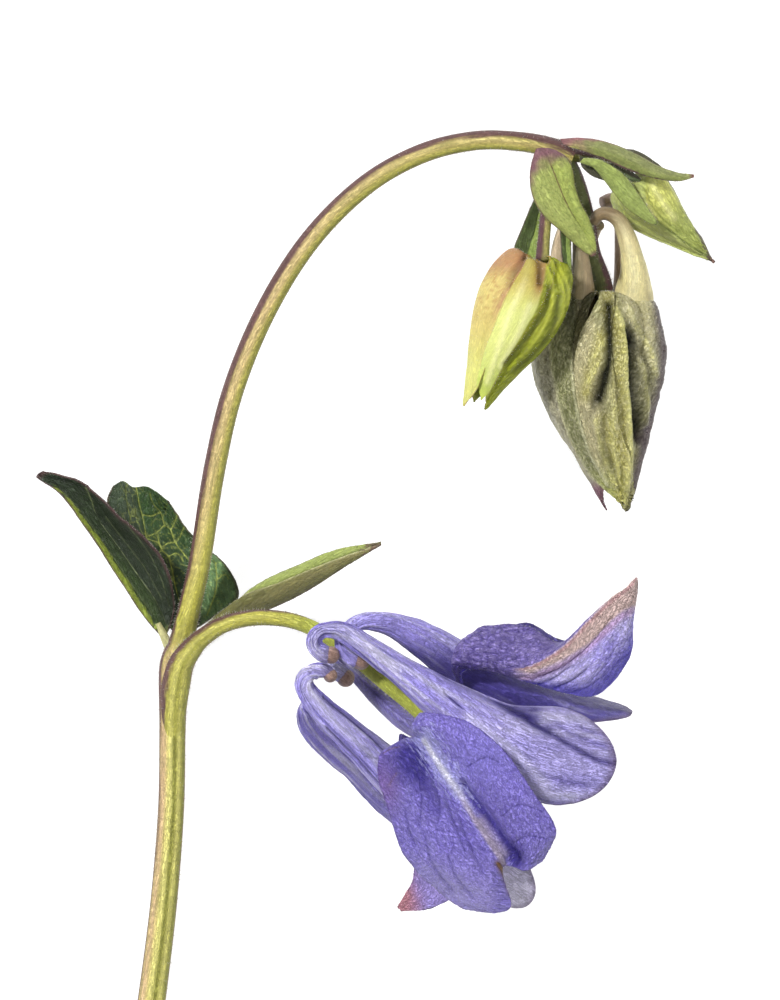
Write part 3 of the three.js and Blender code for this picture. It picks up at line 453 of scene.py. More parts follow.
def rim_ways(patch):
    """Directions that point out over the margins of a blade."""
    across = unit(np.gradient(patch.p, axis=1))
    return across * np.sign(patch.v - 0.5)[..., None]


def fringe(name, patch, count, seed, weight=1.0, long=0.2):
    """Short pale hairs along the two margins of a blade."""
    at_rim = ease(np.abs(patch.v - 0.5), 0.485, 0.5) * weight + 1e-6
    roots, outs = pick(patch.p, unit(0.5 * patch.out + rim_ways(patch)), at_rim, count, seed)
    hairs(name + "_hairs", roots, outs, long, seed=seed)


def bud_hairs(name, patches, count, long, seed):
    """Short fuzz on a bud's outer faces, most of it where they turn away from the camera."""
    places = []
    for k, patch in enumerate(patches):
        weight = bump(np.abs(patch.out[..., 2]), 0, 0.5) + 0.12 + ease(np.abs(patch.v - 0.5), 0.47, 0.5)
        weight = weight * ease(patch.u, 0.98, 0.8)
        places.append(pick(patch.p, patch.out, weight, count // len(patches), seed + k))
    roots, outs = (np.concatenate(group) for group in zip(*places))
    hairs(name + "_hairs", roots, outs, long, width=0.013, seed=seed)


# ---------------------------------------------------------------- masks that several pieces share


def net_veins(patch, size, width, seed):
    """A net of veins with meshes of about the given size, 1 on a vein."""
    away = 0.35 * noise(patch.p / (0.9 * size * MM), seed + 5)
    near, second = cells(np.stack([patch.span / size + away, patch.run / (1.3 * size) - away], -1), seed)
    return ease(second - near, 2.2 * width, 0.4 * width)


def seen_from_above(patch):
    """1 where a surface looks up, 0 where it looks down."""
    return ease(patch.out[..., 2], -0.1, 0.3)


def dot(x, y, middle, width, narrow=1.0):
    """A round spot on the sheet, 1 at its middle; narrow: how much slimmer it is across."""
    return bump(np.hypot((x - middle[0]) * narrow, y - middle[1]), 0, width)


def to_share(total):
    """A sum of shares, held between 0 and 1."""
    return np.clip(total, 0, 1)


# ---------------------------------------------------------------- materials


def paint(code):
    """A linear colour from an sRGB hex code."""
    values = [int(code[k : k + 2], 16) / 255 for k in (0, 2, 4)]
    linear = [c / 12.92 if c <= 0.04045 else ((c + 0.055) / 1.055) ** 2.4 for c in values]
    return (*linear, 1.0)


def tissue(name, base, layers, mottle, grain, roughness=0.45, subsurface=0.05, wrinkle=None):
    """Plant tissue: a base colour with mask-driven colours over it, mottled, wrinkled and finely bumped.

    layers: (mask, colour, share), and for a ragged edge its size in mm too; mottle: (size in mm, share);
    grain: (size in mm, depth in mm); wrinkle: (width, length and depth in mm, dark share, light share) of the
    fine folds that follow the run and span masks. The dark share is painted shade in the folds' creases, the
    light share a painted highlight on their ridges.
    """
    made = bpy.data.materials.new(name)
    made.use_nodes = True
    tree = made.node_tree
    nodes, link = tree.nodes, tree.links.new
    shader = nodes["Principled BSDF"]
    shader.inputs["Roughness"].default_value = roughness
    shader.inputs["Subsurface Weight"].default_value = subsurface
    shader.inputs["Subsurface Radius"].default_value = (0.6, 0.5, 0.4)
    shader.inputs["Subsurface Scale"].default_value = 0.6 * MM
    shader.inputs["Specular IOR Level"].default_value = 0.38
    place = nodes.new("ShaderNodeTexCoord").outputs["Object"]

    def feed(node, values):
        for socket, value in values:
            if isinstance(value, bpy.types.NodeSocket):
                link(value, node.inputs[socket])
            else:
                node.inputs[socket].default_value = value

    def mixed(share, first, second, kind="MIX"):
        node = nodes.new("ShaderNodeMix")
        node.data_type = "RGBA"
        node.blend_type = kind
        feed(node, ((0, share), (6, first), (7, second)))
        return node.outputs[2]

    def maths(kind, *values, clamp=False):
        node = nodes.new("ShaderNodeMath")
        node.operation = kind
        node.use_clamp = clamp
        feed(node, enumerate(values))
        return node.outputs[0]

    def texture(size, detail, where=place):
        node = nodes.new("ShaderNodeTexNoise")
        node.inputs["Scale"].default_value = 1 / (size * MM) if where is place else 1 / size
        node.inputs["Detail"].default_value = detail
        node.inputs["Roughness"].default_value = 0.6
        link(where, node.inputs["Vector"])
        return node.outputs["Fac"]

    def mask(attribute):
        node = nodes.new("ShaderNodeAttribute")
        node.attribute_name = attribute
        return node.outputs["Fac"]

    def along(across, length, sway):
        spread = nodes.new("ShaderNodeCombineXYZ")
        link(maths("MULTIPLY_ADD", mask("span"), 1 / across, sway), spread.inputs[0])
        link(maths("MULTIPLY_ADD", mask("run"), 1 / length, sway), spread.inputs[1])
        return spread.outputs[0]

    colour = paint(base)
    for attribute, code, share, *ragged in layers:
        amount = mask(attribute)
        if ragged:
            size = ragged[0]
            grains = texture(1.0, 3, along(size, 3 * size, 0.0)) if wrinkle else texture(size, 3)
            pushed = maths("MULTIPLY_ADD", grains, 2.6, maths("ADD", amount, -1.8))
            edge = maths("MULTIPLY_ADD", pushed, 2.5, 0.5, clamp=True)
            amount = maths("MULTIPLY", edge, maths("MULTIPLY", amount, 5.0, clamp=True))
        colour = mixed(maths("MULTIPLY", amount, share), colour, paint(code))
    size, share = mottle
    shade = maths("MULTIPLY_ADD", texture(size, 4), 7 * share, 1 - 3.5 * share)
    height = maths("MULTIPLY", texture(grain[0], 3), 4 * grain[1] * MM)
    if wrinkle:
        across, length, depth, dark, light = wrinkle
        sway = maths("MULTIPLY", texture(3 * across, 2), 1.6)
        folds = texture(1.0, 3, along(across, length, sway))
        # Painted shade in the fold creases and a painted highlight on the fold ridges, both multiplied into
        # the colour.
        away = maths("ABSOLUTE", maths("SUBTRACT", folds, 0.5))
        crease = maths("MULTIPLY_ADD", away, -14.0, 1.0, clamp=True)
        ridge = maths("MULTIPLY_ADD", folds, 7.0, -3.7, clamp=True)
        fold_shade_and_highlight = maths("MULTIPLY_ADD", ridge, light, maths("MULTIPLY_ADD", crease, -dark, 1.0))
        shade = maths("MULTIPLY", shade, fold_shade_and_highlight)
        rise = maths("MULTIPLY_ADD", crease, -0.5, folds)
        height = maths("MULTIPLY_ADD", rise, 4 * depth * MM, height)
    grey = nodes.new("ShaderNodeCombineColor")
    for k in range(3):
        link(shade, grey.inputs[k])
    link(mixed(1.0, colour, grey.outputs[0], "MULTIPLY"), shader.inputs["Base Color"])
    relief = nodes.new("ShaderNodeBump")
    relief.inputs["Distance"].default_value = 1.0
    relief.inputs["Strength"].default_value = 1.0
    link(height, relief.inputs["Height"])
    link(relief.outputs["Normal"], shader.inputs["Normal"])
    return made


HAIR = tissue("hair_white", "d8d5c6", [], (0.3, 0.05), (0.1, 0.005), 0.4, subsurface=0.3)

# ---------------------------------------------------------------- tables

# Stalks: [across, down, up, radius].
MAIN_STEM = [
    [14.2, 106.2, 1.36, 1.43], [15.3, 98.5, 1.6, 1.41], [16.3, 90, 2.1, 1.36], [17, 81, 2.9, 1.32],
    [17.15, 73, 3.9, 1.34], [17.3, 67, 4.8, 1.5], [18, 64.6, 4.9, 1.3], [18.5, 62.6, 5.1, 1.17],
    [19.05, 60.2, 5.5, 1.12], [20.05, 55.5, 6, 1.1], [21.4, 47, 6.9, 1.1], [23.3, 39, 7.6, 1.08],
    [26.6, 31, 8.4, 1.07], [31, 24, 9.1, 1.05], [36.4, 18.6, 9.7, 1.02], [42, 15.4, 10.2, 0.98],
    [47.5, 14.05, 10.7, 0.96], [52.5, 14.2, 11, 0.97], [55.8, 15, 11.2, 1.05], [57.4, 15.6, 11.2, 0.8],
]
PEDUNCLE = [
    [17.15, 74, 3.8, 1.2], [17.25, 71, 4.5, 1.33], [17.5, 68.6, 5.2, 1.45], [18, 66.6, 6, 1.32],
    [19, 65.05, 6.9, 1.12], [20.2, 63.8, 7.8, 0.92], [22.3, 62.5, 9.3, 0.84], [25.2, 61.8, 11, 0.8],
    [28.6, 61.95, 12.5, 0.78], [31.6, 63, 13.3, 0.78], [34.8, 65.1, 13.6, 0.78], [38.2, 68, 13.6, 0.8],
    [41.3, 70.5, 13.5, 0.85], [43, 71.8, 13.5, 1.15], [44.2, 72.7, 13.5, 2], [45.6, 73.7, 13.5, 1.5],
]
BUD_LEFT_STALK = [
    [55, 15.2, 11.2, 0.7], [54.9, 18, 11.5, 0.65], [54.7, 20.8, 11.7, 0.62], [54.45, 23.2, 12.6, 0.6],
    [54.2, 26.2, 14.2, 0.7],
]
BUD_LARGE_STALK = [
    [56.3, 15.2, 11, 0.8], [57.6, 18, 9.8, 0.85], [58.6, 21.5, 8.4, 0.85], [59.2, 25, 7.4, 0.85],
    [60, 27.4, 6.8, 0.95], [60.2, 28.5, 6.6, 1.1], [60.45, 30.4, 6.4, 1.2],
]
BUD_RIGHT_STALK = [
    [57, 15.4, 11, 0.7], [59.6, 15.9, 10.2, 0.55], [61.3, 16.4, 9.3, 0.5], [62.2, 17, 8.8, 0.52],
    [62.7, 17.6, 8.5, 0.6],
]
FORK_LEAF_STALK = [
    [15.7, 62.4, 3.9, 0.3], [16.3, 63.6, 4.2, 0.42], [16.8, 64.7, 4.6, 0.5], [17.3, 65.9, 5, 0.55],
]

# Along each stalk: [share, width of the purple side, beige share, share of the painted shade in the groove],
# the width in radians.
MAIN_BANDS = [
    [0, 0.25, 0.8, 0.9], [0.2, 0.3, 0.9, 0.9], [0.28, 0.5, 0.7, 0.8], [0.33, 0.5, 0.2, 0.2],
    [0.38, 0.2, 0, 0], [0.44, 0.55, 0.2, 0], [0.52, 0.85, 0.8, 0], [0.64, 0.95, 0.9, 0],
    [0.76, 0.85, 0.7, 0.2], [0.88, 1.05, 0.6, 0.2], [1, 1.5, 0.3, 0],
]
PEDUNCLE_BANDS = [
    [0, 0.6, 0, 0.3], [0.1, 0.75, 0, 0.5], [0.3, 0.8, 0, 0.4], [0.42, 0.75, 0, 0.2], [0.52, 0.45, 0, 0],
    [0.6, 0, 0, 0], [1, 0, 0, 0],
]
LEFT_BANDS = [[0, 1.5, 0.3, 0], [1, 1.3, 0.3, 0]]
LARGE_BANDS = [[0, 0.3, 0, 0], [0.5, 0.7, 0, 0], [1, 1.1, 0, 0]]
RIGHT_BANDS = [[0, 1.2, 0, 0], [1, 0.8, 0, 0]]

# Leaves and bracts: rows of places from base to tip, each row from margin to margin.
LEAF_LEFT = [
    [[16.1, 63.7, 4.1], [16.25, 63.65, 4], [16.4, 63.6, 3.9], [16.5, 63.55, 3.9], [16.6, 63.5, 3.9]],
    [[14.6, 62.1, 4.2], [15.4, 61.9, 3.7], [16.1, 61.5, 3.3], [16.8, 61, 3.5], [17.4, 60.4, 3.8]],
    [[12.2, 58.5, 5.2], [13.1, 57.9, 4.4], [14, 57.2, 4], [15.1, 56.4, 4.7], [16.1, 55.7, 5.6]],
    [[9.3, 54, 6.4], [10, 53.5, 5.5], [10.7, 52.9, 5], [11.4, 52.3, 6], [12, 51.7, 7.4]],
    [[6.1, 49.6, 6.8], [6.7, 49.3, 6.2], [7.3, 48.9, 6], [7.8, 48.6, 6.4], [8.2, 48.3, 7.2]],
    [[3.5, 47.7, 6.4], [3.6, 47.5, 6.4], [3.8, 47.3, 6.4], [4, 47.2, 6.4], [4.2, 47.1, 6.4]],
]
LEAF_BACK = [
    [[17.5, 63.6, 3], [17.9, 63.5, 3], [18.3, 63.4, 3], [18.7, 63.3, 3], [19.1, 63.2, 3]],
    [[15.2, 60.6, 2.2], [16.2, 60.5, 2.2], [17.2, 60, 1.9], [19.4, 60.7, 1.8], [21.4, 61.7, 1.5]],
    [[13, 57, 1.9], [14.2, 57, 1.8], [15.7, 56.6, 1.2], [20, 57.9, 1.2], [23.8, 59.7, 1.3]],
    [[11.5, 53.4, 1.9], [12.8, 53.5, 1.6], [14.6, 53.8, 0.9], [19, 55.2, 0.5], [22.5, 56.5, 0.9]],
    [[10.6, 50.3, 2.2], [12.2, 50.4, 1.8], [13.9, 51, 0.9], [17, 52.1, 0.2], [19.2, 53.7, 0.6]],
    [[11.2, 48.6, 2.4], [12.2, 48.1, 2.1], [13.2, 48.7, 1.5], [14.7, 48.7, 0.9], [16.7, 50.1, 0.9]],
]
LEAF_RIGHT = [
    [[20, 63.7, 4.6], [20.1, 63.5, 4.6], [20.2, 63.2, 4.6], [20.3, 62.9, 4.6], [20.4, 62.7, 4.6]],
    [[23.4, 62.2, 5.2], [23.2, 61.6, 5.7], [23.1, 61.1, 6], [23, 60.8, 5.8], [22.9, 60.6, 5.3]],
    [[27.2, 60.8, 5.5], [26.8, 59.8, 6.4], [26.6, 59, 6.8], [26.4, 58.6, 6.7], [26.2, 58.2, 6.1]],
    [[30.5, 59.2, 6], [30.2, 58.2, 6.9], [30, 57.4, 7.3], [29.9, 57, 7.2], [29.7, 56.6, 6.7]],
    [[34.3, 56.8, 6.9], [34.1, 56.2, 7.3], [33.9, 55.7, 7.6], [33.8, 55.3, 7.5], [33.6, 55, 7.3]],
    [[38.1, 54.5, 7.8], [38.1, 54.4, 7.8], [38.1, 54.35, 7.8], [38.1, 54.3, 7.8], [38.1, 54.2, 7.8]],
]
BRACT_FRONT = [
    [[53.6, 14.9, 13], [54, 14.8, 13.1], [54.5, 14.8, 13.2], [55.1, 14.9, 13.1], [55.7, 15.1, 12.9]],
    [[53.2, 16.2, 13.2], [54, 16.1, 13.5], [54.9, 16, 13.4], [55.8, 15.9, 13.6], [56.7, 15.8, 13.3]],
    [[53, 17.8, 13.3], [54.2, 17.7, 13.8], [55.5, 17.5, 13.6], [56.5, 17.2, 13.9], [57.2, 16.9, 13.5]],
    [[53.3, 19.7, 13.3], [54.8, 19.5, 13.9], [56.2, 19.3, 13.7], [57, 19, 14], [57.5, 18.7, 13.6]],
    [[54.3, 21.5, 13.3], [55.7, 21.3, 13.9], [57, 21, 13.7], [57.6, 20.7, 14], [58.1, 20.4, 13.7]],
    [[56.1, 23.1, 13.3], [57.1, 22.9, 13.8], [58, 22.6, 13.6], [58.5, 22.3, 13.9], [58.9, 21.9, 13.6]],
    [[57.8, 24.7, 13.2], [58.4, 24.5, 13.5], [58.9, 24.2, 13.4], [59.2, 24, 13.5], [59.5, 23.8, 13.4]],
    [[59.2, 25.6, 13], [59.3, 25.6, 13], [59.4, 25.5, 13], [59.5, 25.5, 13], [59.6, 25.4, 13]],
]
BRACT_UPPER = [
    [[56, 13.9, 12.7], [56.2, 14.2, 12.8], [56.4, 14.5, 12.8]],
    [[58.2, 13.8, 12.8], [58.3, 14.5, 13.1], [58.4, 15.1, 12.8]],
    [[60.6, 14.2, 12.8], [60.6, 15.1, 13.3], [60.5, 15.9, 12.9]],
    [[63.2, 15.2, 12.8], [63, 16.1, 13.4], [62.6, 16.9, 13]],
    [[65.6, 16.5, 12.8], [65.3, 17.2, 13.3], [65, 17.7, 13]],
    [[67.8, 17.3, 12.8], [67.7, 17.7, 13.1], [67.6, 18.1, 12.9]],
    [[69.4, 17.45, 12.8], [69.4, 17.6, 12.8], [69.4, 17.75, 12.8]],
]
BRACT_LOWER = [
    [[58, 16.2, 12.6], [58.2, 16, 12.7], [58.4, 15.8, 12.6]],
    [[59.5, 16.9, 12.4], [59.9, 16.5, 12.7], [60.3, 16.1, 12.5]],
    [[61.1, 18.9, 12.2], [61.8, 18.2, 12.7], [62.5, 17.6, 12.4]],
    [[62.7, 20.8, 12.3], [63.4, 20.2, 12.8], [64, 19.6, 12.4]],
    [[64.4, 22, 12.4], [64.8, 21.6, 12.6], [65.1, 21.3, 12.4]],
    [[65.6, 22.5, 12.4], [65.7, 22.4, 12.4], [65.8, 22.3, 12.4]],
]
BRACT_BEHIND = [
    [[54.2, 18.2, 10.2], [54.6, 18.2, 10.2], [55, 18.2, 10.2]],
    [[53.1, 20.6, 9.9], [54, 20.7, 9.6], [54.8, 20.8, 9.9]],
    [[52.2, 22.8, 9.4], [53.5, 23, 8.9], [54.7, 23.2, 9.3]],
    [[51.4, 24.8, 9], [52.8, 25.2, 8.4], [54.3, 25.4, 8.8]],
    [[51.3, 26.4, 7.9], [52.5, 26.8, 7.5], [53.8, 27, 7.8]],
    [[51.8, 28, 7], [52.3, 28.2, 7], [52.8, 28.3, 7]],
]
BRACT_NARROW = [
    [[56.3, 18.4, 12.6], [56.7, 18.3, 12.6], [57.1, 18.2, 12.6]],
    [[56, 21.4, 12.2], [56.6, 21.4, 12], [57.1, 21.4, 12.2]],
    [[56.1, 24.4, 11.7], [56.6, 24.4, 11.4], [57.1, 24.4, 11.6]],
    [[56.4, 26.8, 11.2], [56.8, 26.8, 11], [57.2, 26.8, 11.1]],
    [[56.9, 28.7, 10.8], [57, 28.7, 10.8], [57.1, 28.7, 10.8]],
]
SMALL_BRACTS = [
    [
        [[61.9, 14.9, 12.1], [62.1, 15.2, 12.2], [62.3, 15.5, 12.1]],
        [[63.4, 15, 12], [63.5, 15.6, 12.2], [63.6, 16.2, 12]],
        [[64.8, 15.7, 11.9], [64.8, 16.2, 12.1], [64.8, 16.7, 11.9]],
        [[66.2, 16.7, 11.8], [66.2, 16.8, 11.8], [66.2, 16.9, 11.8]],
    ],
    [
        [[58, 15.5, 11.7], [58.2, 15.7, 11.8], [58.4, 15.9, 11.7]],
        [[58.2, 16.6, 11.4], [58.9, 16.3, 11.7], [59.6, 15.9, 11.4]],
        [[59.2, 17.5, 11.3], [59.8, 17.1, 11.6], [60.3, 16.7, 11.3]],
        [[60.4, 18, 11.3], [60.5, 17.9, 11.3], [60.6, 17.8, 11.3]],
    ],
    [
        [[60.8, 16.3, 11.5], [61, 16.5, 11.5], [61.1, 16.7, 11.5]],
        [[61.9, 16.4, 11.3], [61.8, 16.9, 11.5], [61.7, 17.4, 11.3]],
        [[63, 17, 11.2], [62.9, 17.5, 11.4], [62.8, 18, 11.2]],
        [[64.1, 17.9, 11.1], [64.1, 18, 11.1], [64, 18.1, 11.1]],
    ],
]

# Buds: phase, the turn of the first keel; axis, places; profile, [share down the axis, radius, rise of the
# shoulder]; ends, where the sepals' points lie.
BUD_LEFT = {
    "phase": 0,
    "axis": [
        [54, 26.6, 14.4], [52.5, 29.6, 14.4], [50.8, 33.2, 14.4], [49.2, 36.4, 14.4], [47.9, 39.2, 14.4],
    ],
    "profile": [
        [0.06, 0.9], [0.04, 1.6, 0.2], [0.02, 2.6, 0.7], [0.03, 3.5, 0.6], [0.09, 4.05], [0.19, 4.4],
        [0.32, 4.5], [0.46, 4.15], [0.6, 3.5], [0.74, 2.7], [0.86, 1.9], [0.95, 1.3], [1, 1],
    ],
    "ends": [[48.1, 40, 15.4], [46.35, 40.6, 14.8], [48.5, 41, 14.4], [47.4, 40.2, 13], [48.8, 40, 13.2]],
}
BUD_LARGE = {
    "phase": -0.26,
    "axis": [[60.3, 29, 6.43], [59.6, 34, 6.43], [59.95, 39, 6.4], [60.9, 44.2, 6.4], [61.8, 49.2, 6.4]],
    "profile": [
        [0.05, 1.5], [0.035, 3, 0.3], [0.03, 4.6, 0.6], [0.06, 5.6, 0.3], [0.13, 6.25], [0.23, 6.7],
        [0.36, 6.8], [0.49, 6.3], [0.61, 5.4], [0.73, 4.2], [0.84, 3.05], [0.93, 2.1], [1, 1.4],
    ],
    "ends": [
        [62.75, 51.1, 7.38], [60.75, 51, 5.78], [62.3, 50.2, 5.68], [61.2, 50, 4.98], [61.8, 49.8, 4.78],
    ],
}
BUD_RIGHT = {
    "phase": 0.4,
    "axis": [[63, 17.9, 8.5], [65, 20.2, 8.5], [67.4, 22.6, 8.5], [70.2, 25.1, 8.5]],
    "profile": [
        [0.04, 0.8], [0, 1.8, 0.2], [0.04, 2.5, 0.2], [0.13, 2.95], [0.27, 3.1], [0.42, 2.8], [0.57, 2.3],
        [0.72, 1.7], [0.86, 1.2], [1, 0.75],
    ],
    "ends": [[71.5, 26.2, 8.5]],
}

# The spurs of the large bud: [across, down, up, radius] from the bud to the tip.
BUD_SPURS = [
    [
        [63.4, 31.2, 6.2, 2.1], [63.45, 29.2, 7.1, 1.95], [63.5, 27.4, 8.5, 1.45], [63.2, 25.4, 9.6, 1.1],
        [62.65, 23.5, 10.4, 0.92], [61.9, 22, 10.9, 0.78], [60.8, 21.35, 11, 0.68], [59.9, 21.5, 11, 0.62],
        [59.3, 22.3, 10.9, 0.52],
    ],
    [
        [57.6, 33.6, 8.9, 1.9], [57.8, 31.4, 9.6, 1.75], [58.1, 29.2, 9.9, 1.45], [58.2, 27.2, 10.2, 1.05],
        [58.05, 25.2, 10.2, 0.8], [57.9, 23.8, 10.1, 0.65], [57.8, 22.8, 10, 0.5],
    ],
    [
        [56.2, 31.6, 7.4, 1.5], [55.9, 29.2, 7.6, 1.2], [55.9, 26.8, 7.6, 0.9], [56, 24.6, 7.7, 0.75],
        [56.5, 22.8, 7.9, 0.65], [57, 22, 7.9, 0.55],
    ],
    [
        [58.7, 31.4, 3.3, 1.4], [58.5, 28.8, 3.1, 1.15], [58.6, 26.4, 3.4, 0.9], [59, 24.2, 3.8, 0.75],
        [59.6, 22.8, 4.4, 0.65], [60, 22.4, 5.2, 0.55],
    ],
    [
        [62.3, 31.4, 3.8, 1.4], [62.5, 28.6, 3.9, 1.15], [62.4, 25.8, 4.2, 0.9], [62.3, 23.2, 4.6, 0.8],
        [62.1, 21, 5.1, 0.75], [61.3, 19.95, 5.6, 0.72], [60.3, 20.2, 6.2, 0.62],
    ],
]

# The flower's sepals: rows of places, as for the leaves.
SEPAL_FRONT = [
    [[42.6, 74.4, 15.4], [42.9, 74.4, 15.6], [43.2, 74.3, 15.8], [43.5, 74.1, 15.8], [43.8, 73.9, 15.8]],
    [[40.6, 74.6, 18.6], [41.3, 74.2, 18.8], [42, 73.9, 18.8], [42.2, 73.5, 19], [42.4, 73.1, 19]],
    [[38.2, 75.3, 20.6], [40.2, 74.2, 21.4], [42.4, 74.1, 21], [41.5, 72.7, 22.1], [42.2, 71.2, 22.8]],
    [[37.9, 77.7, 21], [40.8, 76.9, 23.4], [44, 76.8, 22.2], [45.6, 73.8, 24.4], [46.5, 72, 24.2]],
    [[38.9, 81, 21.2], [43, 80.9, 24.6], [46.4, 80.3, 23.2], [49.2, 76.6, 25.7], [50.2, 74.8, 25.6]],
    [[40.4, 85.3, 20.6], [45.2, 84.6, 25.2], [48.7, 83, 23.8], [51.6, 80.6, 26.2], [53.2, 79, 26.4]],
    [[43.6, 88.8, 19.4], [47.2, 87.6, 24.6], [50.2, 85.3, 23.6], [53.2, 83.9, 25.6], [55.5, 82.8, 25.4]],
    [[46.3, 90.8, 19.2], [50.9, 90.7, 22.2], [49.9, 86.5, 22.6], [52.4, 86.9, 24], [54.2, 86, 23.4]],
]
SEPAL_TOP = [
    [[45.6, 71.2, 15.3], [45.5, 71.15, 15.35], [45.4, 71.1, 15.4], [45.3, 71.05, 15.35], [45.2, 71, 15.3]],
    [[46.3, 69, 16.8], [46.2, 68.8, 16.9], [46, 68.6, 16.9], [45.8, 68.4, 16.9], [45.7, 68.2, 16.8]],
    [[46.2, 67, 18.8], [45.7, 66.6, 19.4], [45.5, 65.9, 19.9], [45.9, 64.5, 20], [47.2, 63.4, 18.8]],
    [[49, 67, 19], [48.8, 66.7, 19.6], [48.9, 66.2, 20.3], [49, 64.5, 21.1], [50.2, 62.5, 19]],
    [[52.2, 67.9, 19], [52.2, 67.5, 19.8], [52.3, 66.8, 20.7], [52.1, 65.2, 20.7], [53, 62.8, 19]],
    [[56.4, 69.2, 19], [56.2, 67.4, 20.8], [56.1, 65, 22], [55.2, 65, 20.4], [55.4, 64.2, 19]],
    [[59.8, 69.3, 19], [59.4, 66.2, 21.8], [59, 62.1, 22.4], [58.4, 62.8, 20.8], [57.6, 64, 19.4]],
    [[62.8, 65.8, 19.6], [62, 63.2, 21.8], [61.1, 60.1, 22.2], [60.8, 60.8, 21], [60.2, 61.6, 20]],
    [[63.2, 61.9, 20], [63, 60.6, 21.3], [62.7, 58.9, 21.7], [62.5, 59.3, 20.9], [62.3, 59.7, 20.2]],
    [[63.7, 58.4, 20.9], [63.65, 58.1, 20.9], [63.6, 57.8, 20.9], [63.55, 57.8, 20.7], [63.5, 57.9, 20.6]],
]
SEPAL_LOW = [
    [[42.3, 74.6, 12.9], [42.6, 74.8, 12.9], [42.9, 75, 12.9]],
    [[41, 73.9, 12.7], [41.9, 74.7, 12.7], [42.8, 75.4, 12.7]],
    [[39.9, 73.6, 12.5], [41.5, 75, 12.4], [43.2, 76.2, 12.4]],
    [[40.4, 77, 12.5], [42.4, 77.2, 12.3], [44.4, 77.4, 12.3]],
    [[40.9, 81, 12.2], [43.2, 81.2, 12], [45.5, 81.4, 12]],
    [[41.3, 85, 11.8], [44, 85.3, 11.6], [46.6, 85.6, 11.4]],
    [[41.3, 87.8, 12], [43.8, 88.6, 11.8], [46.4, 88.8, 11.6]],
    [[40.5, 89.4, 12.4], [41.9, 90.2, 12.3], [43.2, 90.8, 12.2]],
    [[39.7, 90.7, 12.8], [39.9, 90.9, 12.8], [40.1, 91.1, 12.8]],
]
SEPAL_BEHIND = [
    [[44.9, 70.7, 12.3], [45.3, 70.9, 12.3], [45.7, 71.1, 12.3]],
    [[46.4, 67.2, 9.8], [48.2, 68.2, 9.4], [50, 69.2, 9.6]],
    [[49.2, 63.9, 7.6], [51.4, 66, 6.6], [53.6, 68, 7.4]],
    [[52.6, 62.3, 5.6], [54.8, 65, 4.4], [57, 67.6, 5.6]],
    [[56, 64, 3.6], [57.8, 65.4, 2.8], [59.8, 66.8, 3.8]],
    [[60.2, 64.6, 2.4], [60.4, 64.8, 2.4], [60.6, 65, 2.4]],
]
SEPAL_UNDER = [
    [[43.4, 72.9, 10.8], [43.9, 73, 10.7], [44.4, 73.1, 10.8]],
    [[42.4, 76.3, 9.2], [43.1, 76.3, 9.1], [43.8, 76.2, 9.2]],
    [[42.2, 78.6, 5.8], [43.6, 78.3, 5.2], [45, 77.8, 5.6]],
    [[42.2, 81.4, 2.2], [44.8, 80.2, 1.3], [47.2, 78.4, 1.8]],
    [[43.6, 84.4, 0.9], [46.8, 82, 0.15], [49.6, 79, 0.5]],
    [[46.6, 86.4, 0.9], [49.4, 83.8, 0.2], [51.6, 81, 0.7]],
    [[50, 86.4, 1.6], [51.4, 84.6, 1.2], [52.6, 82.8, 1.5]],
    [[52.8, 85.2, 2.4], [53, 85, 2.4], [53.2, 84.8, 2.4]],
]

